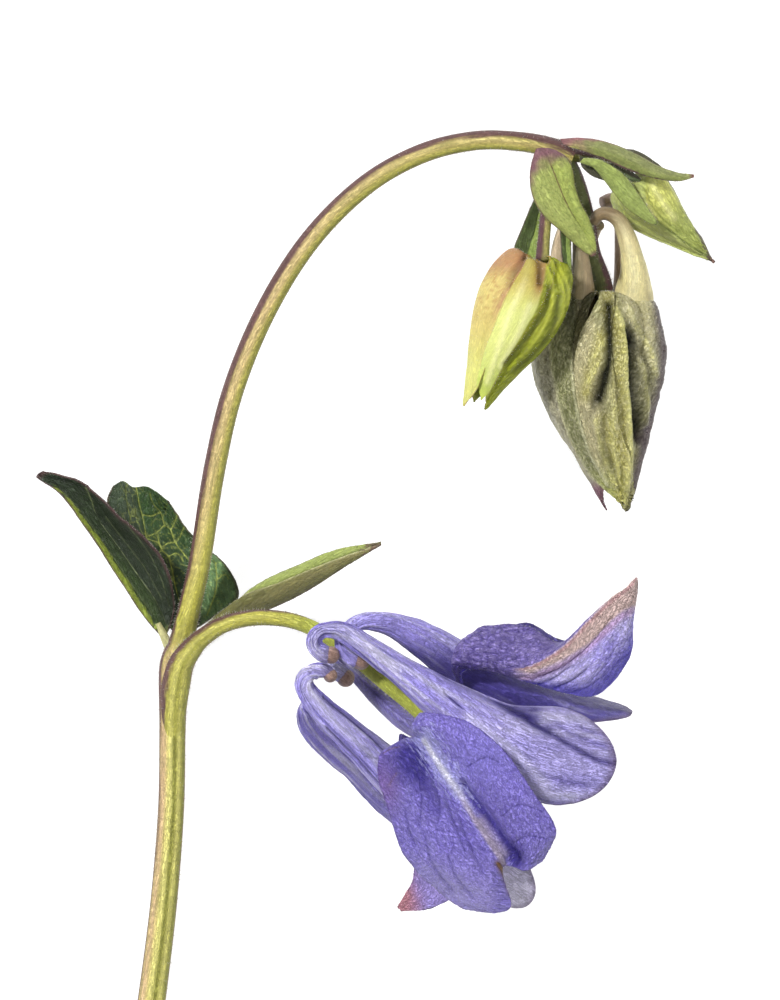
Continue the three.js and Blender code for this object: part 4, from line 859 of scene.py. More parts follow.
# Petals: facing, the way of the upper side; rows, [across, down, up, half width, half depth] from the spur's
# tip to the blade's rim; mouth, how far down the lower side reaches; round, how blunt the blade is.
PETALS = {
    "front": {
        "facing": [0, 0, 1],
        "rows": [
            [33.4, 65.5, 17.2, 0.5, 0.5], [32.5, 65.4, 17.3, 0.85, 0.85], [31.6, 64.6, 17.6, 0.75, 0.75],
            [31.6, 63.6, 18, 0.72, 0.72], [32.6, 62.95, 18.3, 0.75, 0.75], [34.6, 63.3, 18.5, 0.95, 0.9],
            [38, 65.6, 18.5, 1.2, 1.1], [41.6, 68.1, 18.4, 1.75, 1.5], [45.8, 71, 18.9, 2.5, 1.65],
            [50.4, 73.9, 20, 3.7, 2.1], [55.5, 75.5, 21.6, 4.9, 2.1], [61.7, 76.6, 22.6, 4.6, 1.6],
        ],
        "mouth": 0.7,
        "round": 0.6,
        "claw": [[45.4, 73.1, 16.25, 0.45], [45, 71.8, 17, 0.6], [44.4, 70.6, 17.6, 0.8]],
    },
    "top": {
        "facing": [0.5, -0.8, 0.3],
        "rows": [
            [36.4, 66.1, 16.5, 0.5, 0.5], [35.6, 65.9, 16.6, 0.8, 0.8], [34.6, 65.1, 16.7, 0.75, 0.75],
            [34.3, 63.9, 16.6, 0.72, 0.72], [34.9, 62.8, 16.3, 0.75, 0.75], [36.6, 62.1, 16, 0.9, 0.9],
            [39.4, 62.5, 15.6, 1.3, 1.3], [43, 64.4, 15.1, 1.8, 1.9], [47, 67.2, 14.5, 2.2, 2.3],
            [51.6, 69.5, 14.3, 3.2, 2.3], [57, 71.3, 14.4, 3.9, 2], [62.9, 72.7, 14.7, 3.8, 1.6],
        ],
        "mouth": 0.7,
        "round": 0.6,
        "claw": [[46.75, 71.15, 14.05, 0.45], [46.2, 69.8, 14, 0.6], [45.6, 68.4, 14, 0.8]],
    },
    "low_front": {
        "facing": [-0.4, 0.6, 0.7],
        "rows": [
            [33.2, 67.7, 15.6, 0.45, 0.45], [32.6, 67.1, 15.6, 0.7, 0.7], [31.6, 66.95, 15.6, 0.7, 0.7],
            [30.75, 67.6, 15.6, 0.75, 0.75], [30.7, 68.9, 15.7, 0.95, 0.95], [32, 70.7, 15.8, 1.2, 1.2],
            [34.6, 73.1, 16, 1.55, 1.5], [37.8, 75.9, 16.2, 1.9, 1.9], [41.4, 79.4, 16.6, 2.5, 2.2],
            [45, 82.6, 17, 3.4, 2.2], [49.4, 86.1, 17.4, 4.3, 2], [53.9, 89, 17.6, 4.4, 1.6],
        ],
        "mouth": 0.72,
        "round": 0.7,
        "claw": [[43.9, 75.15, 14.35, 0.45], [42.9, 76.7, 14.9, 0.6], [42, 77.9, 15.3, 0.8]],
    },
    "low_back": {
        "facing": [-0.45, 0.6, -0.7],
        "rows": [
            [32.4, 70.8, 11.2, 0.45, 0.45], [31.8, 70.5, 11, 0.7, 0.7], [31, 70.5, 10.6, 0.7, 0.7],
            [30.5, 71.2, 10.2, 0.75, 0.75], [30.9, 72.6, 9.8, 0.9, 0.9], [32.8, 74.6, 9.4, 1.1, 1.1],
            [35.8, 77.2, 9.2, 1.35, 1.3], [38.8, 79.9, 8.8, 1.7, 1.7], [42.2, 82, 8, 2.2, 2],
            [45.6, 83.8, 7.2, 3.2, 2], [48.4, 85.4, 6.4, 4, 1.8], [51, 86.8, 5.8, 4, 1.4],
        ],
        "mouth": 0.76,
        "round": 0.8,
        "claw": [[44.2, 74.95, 11.5, 0.45], [44.2, 78, 10.6, 0.6], [44.1, 81.5, 9, 0.9]],
    },
    "back": {
        "facing": [0.2, -0.3, -1],
        "rows": [
            [34.8, 68, 13, 0.55, 0.55], [34.2, 67.5, 13, 0.85, 0.85], [33.2, 66.6, 12.7, 0.75, 0.75],
            [32.9, 65.7, 11.8, 0.72, 0.72], [33.5, 65.4, 10.6, 0.75, 0.75], [35, 66.4, 9.8, 0.9, 0.9],
            [37.6, 69, 9.2, 1.2, 1.2], [40.6, 71.4, 8.6, 1.6, 1.5], [44.6, 73.2, 7.8, 2.2, 1.9],
            [49.2, 74.6, 6.8, 3.2, 2], [54, 76, 5.8, 4.4, 1.8], [58.4, 77.4, 5, 4.6, 1.4],
        ],
        "mouth": 0.76,
        "round": 1,
        "claw": [[45.95, 72.2, 11.15, 0.45], [45.9, 73.1, 10.2, 0.6], [45.6, 74, 8.9, 0.8]],
    },
}

# ---------------------------------------------------------------- stem


def stem_masks(bands, fresh=0.0, shade=0.0, side=-1):
    """Colour shares of a stalk, from its bands.

    fresh, shade: how much lime and dark lie over it; side: -1 where its left side is purple, 1 its right.
    """

    def masks(patch, s, q):
        width, beige, groove = np.moveaxis(curve(bands, s), -1, 0)
        away = np.abs((q - side * np.pi / 2 + np.pi) % (2 * np.pi) - np.pi)
        fine = ribs(q, s * 90, 40, 3, 71)
        uneven = away + 0.22 * fine + 0.12 * ribs(q, s * 90, 16, 12, 72)
        return {
            "purple": ease(width + 0.24 - uneven, -0.2, 0.24) * ease(width, 0.02, 0.2),
            "beige": beige * bump(away, width + 0.55, 0.5),
            # Painted shade along a groove line down the stalk.
            "groove": groove * bump(q, 0.2, 0.16),
            # Painted highlights along the top of the stalk and on the rib beside the groove.
            "light": (0.3 + 0.7 * groove) * bump(q, -0.12, 0.26) + 0.7 * bump(q, 0.55, 0.22) * groove,
            "line": ease(fine, 0.12, 0.55),
            # Darker olive down the right flank: partly the stalk's own olive, partly painted shade.
            "olive": ease(q, 0.35, 1.2) * ease(np.pi - np.abs(q), 0.2, 0.9),
            "red": bump(q, 1.5, 0.22),
            "fresh": fresh * ease(s, 0.5, 0.62),
            "dark": shade,
        }

    return masks


def stem():
    """All stalks as one piece, with the hairs on them."""
    skin = Skin()
    stalks = [
        # rows, size, ribs (count, length, depth), masks, hairs, their length
        (MAIN_STEM, (360, 44), (9, 8, 0.03), stem_masks(MAIN_BANDS), 2400, 0.3),
        (PEDUNCLE, (150, 36), (8, 6, 0.035), stem_masks(PEDUNCLE_BANDS, 1.0), 1200, 0.36),
        (BUD_LEFT_STALK, (60, 24), (6, 5, 0.03), stem_masks(LEFT_BANDS, 0.0, 0.4, side=1), 220, 0.3),
        (BUD_LARGE_STALK, (70, 24), (6, 5, 0.03), stem_masks(LARGE_BANDS, 0.0, 1.0), 420, 0.34),
        (BUD_RIGHT_STALK, (40, 20), (6, 5, 0.03), stem_masks(RIGHT_BANDS, 0.0, 0.6), 80, 0.3),
    ]
    hair_places = []
    for seed, (rows, size, (count, along, depth), masks, hair_count, long) in enumerate(stalks):
        patch = tube(skin, rows, size, lambda s, q: depth * ribs(q, s * 60, count, along, seed), masks)
        weight = np.where(patch.p[..., 2] > 0.8 * MM, 1.0, 0.02)  # hardly any under the stalk
        if rows is MAIN_STEM:
            weight = weight * (0.6 + 2.0 * bump(patch.u, 0.3, 0.03) + 1.6 * ease(patch.u, 0.75, 1.0))
        outward = bump(np.abs(patch.out[..., 2]), 0.0, 0.45) + 0.04
        roots, outs = pick(patch.p, patch.out, weight * outward, hair_count, seed)
        hair_places.append((roots, outs, np.full(hair_count, long)))

    def pale(patch, s, q):
        return {"cream": 1.0, "red": bump(q, 1.5, 0.4)}

    tube(skin, FORK_LEAF_STALK, (20, 16), smooth, pale)
    # The groove and light layers are painted shade and painted highlights; the olive layer is partly painted
    # shade.
    layers = [
        ("olive", "7e8226", 0.75), ("beige", "dcb496", 0.85), ("light", "ece68c", 0.85),
        ("groove", "666a1c", 0.95), ("line", "7c7a30", 0.35), ("fresh", "bac452", 0.85),
        ("dark", "46553f", 0.85), ("red", "8c5a50", 0.8, 0.2), ("cream", "cfcb93", 0.9),
        ("purple", "5c3142", 0.93),
    ]
    wrinkle = (0.16, 1.1, 0.025, 0.18, 0.26)
    look = tissue("stem_green", "bfba4e", layers, (0.35, 0.12), (0.1, 0.015), wrinkle=wrinkle)
    skin.piece("stem_dressed", look, ["stem"])
    roots, outs, lengths = (np.concatenate(group) for group in zip(*hair_places))
    hairs("stem_hairs", roots, outs, lengths)


# ---------------------------------------------------------------- leaves and bracts


def leaf_look(name, base, layers, mottle, roughness, wrinkle):
    return tissue(name, base, layers, mottle, (0.12, 0.02), roughness, wrinkle=wrinkle)


def leaf_left():
    midrib = [[[16.6, 62.6], [15.4, 60], [13.8, 57.8], [11.8, 54.9], [9.8, 52], [9.1, 49.8], [8.6, 48.7]]]
    side_veins = [
        [[15.2, 61.6], [12.9, 58.4], [10.6, 55], [8.2, 51.6], [6.2, 49.3]],
        [[16.9, 60.6], [16, 57.6], [14.6, 54.8], [12.6, 52.3]],
        [[16.2, 60], [14.6, 57], [12.7, 54.4], [10.6, 51.6]],
    ]

    def relief(patch):
        lines = patch.strokes(midrib, 0.16) + 0.6 * patch.strokes(side_veins, 0.2)
        return 0.03 * patch.crinkle(0.6, 2.5, 11) - 0.09 * lines + 0.1 * noise(patch.p / (2.5 * MM), 12)

    def masks(patch, side):
        u, v = patch.u, patch.v
        left_half = ease(patch.right_of(midrib[0][::-1]), 0.3, -0.6)
        return {
            "vein": (patch.strokes(midrib, 0.07) + 0.4 * patch.strokes(side_veins, 0.055)) * (side > 0),
            "net": 0.6 * net_veins(patch, 0.9, 0.05, 13),
            "lime": ease(0.16 - v, -0.02, 0.1) * ease(u, 0.0, 0.2) * ease(1 - u, 0, 0.35),
            "brown": to_share(ease(v, 0.93, 0.99) + ease(u, 0.95, 1) + ease(v, 0.02, 0.0)),
            # Painted light on the left half of the folded blade, and the paler green of the underside.
            "lift": 0.9 * left_half * ease(u, 0.9, 0.3) + 0.5 * (side < 0),
            "base": ease(u, 0.1, 0.0),
        }

    # The lift layer is painted light on the top face and the underside's own paler green.
    layers = [
        ("lift", "3f5229", 0.75), ("net", "2c3a26", 0.35), ("lime", "8c9a38", 0.85, 0.35),
        ("vein", "a5b07c", 0.55), ("base", "98a45a", 0.7), ("brown", "54393a", 0.85),
    ]
    look = leaf_look("leaf_left_green", "2b3525", layers, (0.5, 0.16), 0.34, (0.35, 1.2, 0.03, 0.2, 0.25))
    patch = leafy("leaf_left", LEAF_LEFT, (140, 60), relief, masks, look)
    fringe("leaf_left", patch, 240, 15, ease(patch.v, 0.4, 1.0))


def leaf_back():
    main = [
        [[13.4, 48.4], [13.75, 50.3], [14.2, 52.2], [14.5, 53.9], [15.2, 56.5], [16.6, 60.5]],
        [[14.85, 49.4], [15.2, 50.4], [15.9, 51.2], [16.3, 52.5], [16.9, 53], [17.4, 54.3], [18.7, 56]],
        [[21.5, 56.3], [21.6, 58.1], [21.4, 59.5], [20.6, 61.6]],
        [[15.6, 53.6], [16, 54.9], [16.7, 55.7], [17, 56.6], [17.3, 58.1], [17.8, 60.2]],
    ]
    small = [
        [[16.3, 52.6], [15.3, 53.4], [14.5, 53.7]],
        [[17, 52.9], [17.5, 52], [17.7, 51.2]],
        [[12.4, 48.6], [12.5, 50.2], [12.9, 52]],
        [[15.9, 51.2], [15, 51.6], [14.2, 51.5]],
        [[17.4, 54.3], [16.6, 54.4], [16, 54.9]],
        [[21.6, 58.1], [22.4, 57.5], [22.8, 57.9]],
        [[14.5, 53.9], [15.6, 54.3], [16, 54.9], [15.4, 55.8]],
        [[18.4, 52.6], [17.9, 53.6], [17.4, 54.3]],
        [[16.7, 55.7], [17.6, 55.4], [18.2, 56.2]],
        [[20.2, 54.6], [20.3, 56.6], [19.9, 58.6]],
    ]

    def relief(patch):
        net = net_veins(patch, 1.0, 0.07, 21)
        lines = np.maximum(patch.strokes(main, 0.16), 0.7 * patch.strokes(small, 0.13))
        return 0.14 * noise(patch.p / (2.2 * MM), 4) - 0.12 * lines - 0.04 * net

    def masks(patch, side):
        # The lobe folded away from the light gets painted shade, and its veins are dimmed with it.
        shaded_lobe = ease(patch.right_of([[13.2, 48.0], [13.6, 50.3], [14.6, 54.5], [17.0, 61.0]]), 0.25, -0.4)
        fine = 0.3 * net_veins(patch, 0.9, 0.045, 21) * ease(noise(patch.p / (3 * MM), 9), -0.5, 0.3)
        lines = np.maximum(patch.strokes(main, 0.085), 0.8 * patch.strokes(small, 0.07))
        lines = lines * (1 - 0.5 * shaded_lobe)
        # The right part gets painted light that cancels the stem's cast shadow there; the lift mask adds
        # painted light on the lit lobe too.
        right = ease(patch.at()[0], 19.6, 20.8)
        return {
            "vein": np.maximum(lines, fine) * (side > 0),
            "brown": ease(np.maximum(patch.v, 1 - patch.v), 0.965, 0.995),
            "lift": to_share((1 - shaded_lobe) * ease(patch.u, 0.3, 0.85) + right),
            "right": right,
            "lobe": shaded_lobe,
            "under": 1.0 * (side < 0),
        }

    # lift and right are painted light, lobe painted shade.
    layers = [
        ("lift", "37522b", 0.85), ("lobe", "3f4c38", 0.8), ("right", "6c8c5c", 0.9),
        ("vein", "c9d268", 0.95), ("brown", "5a463c", 0.7), ("under", "6c7f56", 0.7),
    ]
    look = leaf_look("leaf_back_green", "33482c", layers, (0.6, 0.18), 0.34, (0.4, 0.7, 0.03, 0.2, 0.25))
    patch = leafy("leaf_back", LEAF_BACK, (108, 116), relief, masks, look)
    fringe("leaf_back", patch, 160, 25, long=0.14)


def leaf_right():
    fold = [[20.4, 62.4], [22.5, 60.7], [24.6, 59.5], [28, 58.2], [31.5, 56.7], [34.9, 55.4], [38, 54.4]]

    def above_fold(patch):
        x, y = patch.at()
        line = spline(fold, np.linspace(0, 1, 60))
        return np.interp(x, line[:, 0], line[:, 1]) - y

    def relief(patch):
        return 0.03 * patch.crinkle(0.4, 3.0, 31) - 0.12 * bump(above_fold(patch), 0.0, 0.14)

    def masks(patch, side):
        high = above_fold(patch)
        return {
            # Painted light on the half above the fold, and a painted highlight along the fold's crest.
            "upper": ease(high, -0.05, 0.15),
            "crest": bump(high, -0.05, 0.08),
            "pale": bump(patch.v, 0.32, 0.14) * ease(patch.u, 0.1, 0.5),
            "brown": to_share(ease(patch.u, 0.86, 1.0) + ease(patch.v, 0.04, 0.0) + ease(patch.v, 0.97, 1)),
            "vein": 0.35 * net_veins(patch, 0.7, 0.06, 35),
        }

    # upper and crest are painted light.
    layers = [
        ("pale", "98915c", 0.6), ("upper", "98a556", 0.95), ("crest", "d6d4a0", 0.8),
        ("vein", "a3ad6e", 0.4), ("brown", "5f4540", 0.8, 0.25),
    ]
    look = leaf_look("leaf_right_green", "6b6939", layers, (0.5, 0.12), 0.4, (0.25, 1.2, 0.02, 0.2, 0.2))
    patch = leafy("leaf_right", LEAF_RIGHT, (130, 44), relief, masks, look)
    weight = ease(np.abs(patch.v - 0.5), 0.44, 0.5) * (0.2 + ease(patch.u, 0.6, 0.1)) + 0.01
    roots, outs = pick(patch.p, unit(0.4 * patch.out + rim_ways(patch)), weight, 700, 36)
    hairs("leaf_right_hairs", roots, outs, 0.3, seed=37)


def bract(name, rows, size, look, seed, wave=0.06, replaced=True):
    """A small leaf with a midrib; its colours come from the look."""

    def relief(patch):
        lift = 0.02 * patch.crinkle(0.4, 2.2, seed) - 0.09 * bump(patch.v, 0.5, 0.04)
        return lift + wave * noise(patch.p / (1.6 * MM), seed + 1)

    def masks(patch, side):
        x, y = patch.at()
        u, v = patch.u, patch.v
        ragged = 0.05 * noise(patch.p / (0.8 * MM), seed + 4)
        return {
            "rib": bump(v, 0.5, 0.022) * ease(1 - u, 0.0, 0.12),
            "foot": ease(u - 0.16 * ease(v, 0.3, 0.0) + ragged, 0.27, 0.06),
            "rim": ease(np.abs(v - 0.5), 0.46, 0.495),
            "low": ease(v, 0.55, 0.45),
            "crest": ease(v, 0.8, 0.95) * ease(u, 0.1, 0.3),
            "tip": ease(u, 0.93, 1.0),
            "net": net_veins(patch, 0.6, 0.05, seed + 2),
            "lime": bump(x, 57.4, 0.7) * bump(y, 14.9, 0.45),
        }

    patch = leafy(name, rows, size, relief, masks, look, replaced)
    weight = 0.02 + ease(np.abs(patch.v - 0.5), 0.46, 0.5) * np.where(patch.v > 0.5, 1.0, 0.5)
    roots, outs = pick(patch.p, unit(0.3 * patch.out + rim_ways(patch)), weight, 170, seed)
    hairs(name + "_hairs", roots, outs, 0.24, width=0.015, seed=seed)


def bract_look(name, base, mottle, roughness, layers):
    return tissue(name, base, layers, mottle, (0.1, 0.025), roughness, wrinkle=(0.24, 0.9, 0.02, 0.2, 0.18))


def bracts():
    front = bract_look("bract_front_green", "a0ab56", (0.7, 0.14), 0.4, [
        ("low", "a3aa62", 0.6), ("net", "74893f", 0.5), ("rib", "6a3f3c", 0.95),
        ("foot", "7a4a5e", 0.92), ("rim", "6d4a48", 0.8), ("tip", "7a4658", 0.9),
    ])
    upper = bract_look("bract_upper_green", "88904f", (0.6, 0.14), 0.4, [
        ("net", "6b7a3a", 0.5), ("low", "8c8f5f", 0.5), ("foot", "95606a", 0.9), ("lime", "bcc163", 0.85),
        ("crest", "6b4652", 0.85, 0.3), ("rim", "6f4450", 0.9), ("tip", "8d5a5c", 0.9),
    ])
    lower = bract_look("bract_lower_green", "98a658", (0.6, 0.14), 0.4, [
        ("net", "7c8a42", 0.4), ("rib", "c4cc86", 0.8), ("rim", "6e4a3e", 0.6), ("tip", "6d7a3a", 0.7),
    ])
    behind = bract_look("bract_behind_green", "8fa352", (0.6, 0.16), 0.42, [
        ("net", "6c8539", 0.6), ("low", "4b5a34", 0.9, 0.3), ("rim", "5a4a44", 0.8), ("rib", "a5b566", 0.5),
    ])
    shade = bract_look("bract_shade_green", "5c6a44", (0.5, 0.18), 0.45, [
        ("net", "46532f", 0.5), ("low", "4a4038", 0.7, 0.3), ("rim", "5b4048", 0.9), ("rib", "7b7f58", 0.4),
    ])
    bract("bract_front", BRACT_FRONT, (96, 50), front, 41)
    bract("bract_upper", BRACT_UPPER, (96, 34), upper, 43)
    bract("bract_lower", BRACT_LOWER, (84, 32), lower, 45)
    bract("bract_behind", BRACT_BEHIND, (60, 30), behind, 47)
    bract("bract_narrow", BRACT_NARROW, (56, 22), behind, 49)
    for k, rows in enumerate(SMALL_BRACTS):
        bract("bract_small_" + str(k + 1), rows, (34, 14), shade, 51 + 4 * k, 0.05, replaced=False)


# ---------------------------------------------------------------- buds


def bud(name, spec, size, look, features, sepals):
    """A closed bud of overlapping sepals, each a thin shell that ends in a point of its own.

    sepals: (limits, raised, end) each: rows of [share down the bud, first turn, last turn] in degrees, how
    far it lies over its neighbours in millimetres, and the number of the end that it runs out to; a fourth
    number lifts its shoulder by so many millimetres.
    """
    skin = Skin()
    axis = [[*place, 1.0] for place in spec["axis"]]
    profile = [(*row, 0.0)[:3] for row in spec["profile"]]
    patches = []
    for k, (limits, raised, end, *lifted) in enumerate(sepals):
        t, v = table(*size)
        low, high = np.moveaxis(np.radians(curve(limits, t)), -1, 0)
        narrowed = 1 - 0.92 * ease(t, 0.84, 1.0)
        q = (low + high) / 2 + (high - low) * (v - 0.5) * narrowed
        share, radius, rise = np.moveaxis(spline(profile, t), -1, 0)
        lobe = np.abs(np.cos(SEPALS / 2 * (q - spec["phase"])))
        radius = radius * (BUD_VALLEY + (1 - BUD_VALLEY) * lobe**0.7 + BUD_KEEL * lobe**12) + raised
        middle, side, depth, _, _ = route(axis, np.clip(share, 0, 1), UP)
        tangent = np.cross(depth, side)
        spread = side * np.sin(q)[..., None] + depth * np.cos(q)[..., None]
        rise = rise * lobe + sum(lifted) * ease(t, 0.3, 0.0)
        places = middle + spread * (radius * MM)[..., None] - tangent * (rise * MM)[..., None]
        drawn = sheet(spec["ends"][end]) - places[-1, size[1] // 2]
        places = places + drawn * ease(t, 0.68, 1.0)[..., None]
        patches.append(shell(skin, t, v, places, features, k))
    skin.piece(name + "_dressed", look, [name])
    return patches


def shell(skin, u, v, places, features, k):
    """One sepal of a bud: an outer face with relief, an inner face and a rim; k: its number."""
    patch = Patch(u, v, places)
    middle = places.reshape(-1, 3).mean(0)
    turn = 1 if ((places - middle) * patch.out).sum(-1).mean() > 0 else -1
    patch.out = patch.out * turn
    lift, masks = features(patch, k)
    patch.p = patch.p + patch.out * lift[..., None] * MM
    patch.p[..., 2] = np.maximum(patch.p[..., 2], (0.02 + 0.03 * k) * MM)  # it rests on the floor
    patch.out = normals(patch.p) * turn
    deep = wall(patch, *SEPAL_WALL, 0.15)
    shares = {"run": patch.run, "span": patch.span, **masks}
    top = skin.grid(patch.p, shares, flip=turn < 0)
    low = skin.grid(patch.p - patch.out * deep[..., None], shares, flip=turn > 0)
    close_rim(skin, top, low, flip=turn < 0)
    return patch


def bud_left():
    left_margin = [
        [52.9, 25], [52.3, 26.8], [51.2, 28.6], [50, 31], [48.9, 34.5], [47.8, 37.5], [47.7, 40],
    ]
    right_margin = [
        [54.4, 25], [54.5, 27.6], [54, 29.7], [53.4, 31.4], [51.4, 34.8], [50.2, 36.8], [48.6, 40],
    ]
    valleys = [
        [[54.9, 28.6], [54.5, 30.8], [52.8, 33.6], [50.5, 36.4]],
        [[55.9, 29.6], [55.5, 32.4], [53.9, 34.9], [51.6, 37]],
    ]
    ridges = [
        [[54.4, 26.2], [55.2, 28.6], [54.9, 31.4], [53.3, 34.3], [51, 36.9]],
        [[55, 26.2], [56.2, 28.8], [56.2, 31.2], [55, 33.6]],
        [[54.6, 30.6], [53.6, 32.8], [52, 35]],
        [[55.7, 26.6], [56.7, 28.6], [56.7, 30.4]],
    ]
    front_ridges = [
        [[53, 26.2], [52.2, 28.8], [51, 31.4], [49.8, 35], [48.7, 38.2]],
        [[52.9, 30.6], [51.7, 33.6], [50, 36.6]],
    ]
    notch = [[[53.8, 25.8], [54, 27], [54.1, 28.4]]]
    cleft = [[[52.6, 25.8], [52, 26.5], [51.3, 27.4], [50.8, 28.6]]]

    def features(patch, k):
        x, y = patch.at()
        seen = seen_from_above(patch)
        left_of_front = -patch.right_of(left_margin)
        right_of_front = patch.right_of(right_margin)
        left = ease(left_of_front, -0.1, 0.12) if k != 0 else 0 * x
        right = ease(right_of_front, -0.12, 0.1)
        front = (1 - right) * (1 - left)
        grain = patch.crinkle(0.3, 2.4, 64)
        ridged = patch.strokes(ridges, 0.13)
        blush = bump(left_of_front, 0.15, 0.5) * ease(33.0 - y, 0, 3.0) + 0.6 * ease(27.2 - y, -0.6, 0.8)
        warm = front * (bump(right_of_front, -0.3, 0.6) + 0.45) * ease(31.0 - y, 0, 3.4)
        shade = ease(right_of_front, 1.3, 2.8) + 0.6 * ease(y, 33.0, 37.0)
        lift = 0.012 * patch.crinkle(0.5, 3.0, 61) + 0.06 * noise(patch.p / (1.6 * MM), 60 + k)
        lift += seen * (0.12 * patch.strokes(ridges, 0.22) - 0.16 * patch.strokes(valleys, 0.3))
        lift += seen * 0.03 * right * grain
        lift += seen * (0.08 * patch.strokes(front_ridges, 0.3) - 0.35 * patch.strokes(notch, 0.4))
        lift += seen * (0.14 * bump(y, 25.9, 0.8) - 0.3 * left * patch.strokes(cleft, 0.3))
        return lift, {
            "left": left,
            "lime": left * ease(y, 31.5, 37.5),
            "rosy": left * to_share(blush),
            "orange": to_share(warm + 0.85 * left * ease(28.8 - y, 0, 2.6)),
            "freckle": left * ease(noise(patch.p / (0.3 * MM), 66), 0.0, 0.5) * ease(34.0 - y, 0, 5.0),
            "olive": right,
            # Painted shade over the right sepal, deeper towards its right side and its lower end.
            "dusk": right * seen * to_share(shade),
            "green": front * ease(28.6 - y, -0.6, 1.4) * ease(-right_of_front, 0.3, 0.9),
            "gleam": seen * (1 - right) * patch.strokes(front_ridges, 0.35),
            # Painted highlights on the right sepal's ridges and grain crests, and painted shade in its
            # valleys.
            "ridge": right * seen * ridged * ease(36.5 - y, 0, 4.0),
            "fine": right * ease(grain, 0.4, 1.4),
            "valley": seen * patch.strokes(valleys, 0.22),
            "pale": front * ease(y, 28.0, 32.0) * seen,
            "low": front * ease(y, 34.0, 39.0) + (1 - seen) * 0.7,
            "notch": seen * to_share(patch.strokes(notch, 0.35) + 0.7 * left * patch.strokes(cleft, 0.22)),
            "rim": ease(np.abs(patch.v - 0.5), 0.47, 0.5),
        }

    # The dusk, valley, ridge and fine layers are painted shade and painted highlights.
    layers = [
        ("left", "d5c176", 0.85), ("lime", "d6d87c", 0.8), ("pale", "dce389", 0.85),
        ("low", "bccc58", 0.8), ("gleam", "f1efb0", 0.5), ("green", "a8ab3c", 0.7),
        ("olive", "828a08", 0.96), ("dusk", "61700a", 0.6), ("fine", "b9c236", 0.55),
        ("ridge", "ccd048", 0.7), ("valley", "4c520a", 0.75), ("orange", "a0733f", 0.85),
        ("freckle", "b07c4a", 0.55), ("rosy", "b07c60", 0.7), ("notch", "5f4a28", 0.85),
        ("rim", "a8804c", 0.6),
    ]
    look = tissue(
        "bud_left_yellow", "c8c160", layers, (0.4, 0.04), (0.12, 0.012), 0.26,
        subsurface=0.15, wrinkle=(0.16, 0.9, 0.012, 0.1, 0.1),
    )
    front = [[0, -12, 30], [0.12, -24, 25], [0.35, -29, 22], [0.6, -24, 22], [0.85, -24, 30], [1, -36, 36]]
    sepals = [
        (front, 0.16, 0, -0.3),
        ([[0, 10, 110], [1, 10, 115]], 0, 1, 0.1),
        ([[0, -115, -8], [1, -115, -12]], 0.03, 2, 1.9),
        ([[0, 100, 195], [1, 100, 195]], 0.06, 3),
        ([[0, 165, 260], [1, 165, 260]], 0, 4),
    ]
    patches = bud("bud_left", BUD_LEFT, (92, 34), look, features, sepals)
    bud_hairs("bud_left", patches, 1400, 0.2, 62)


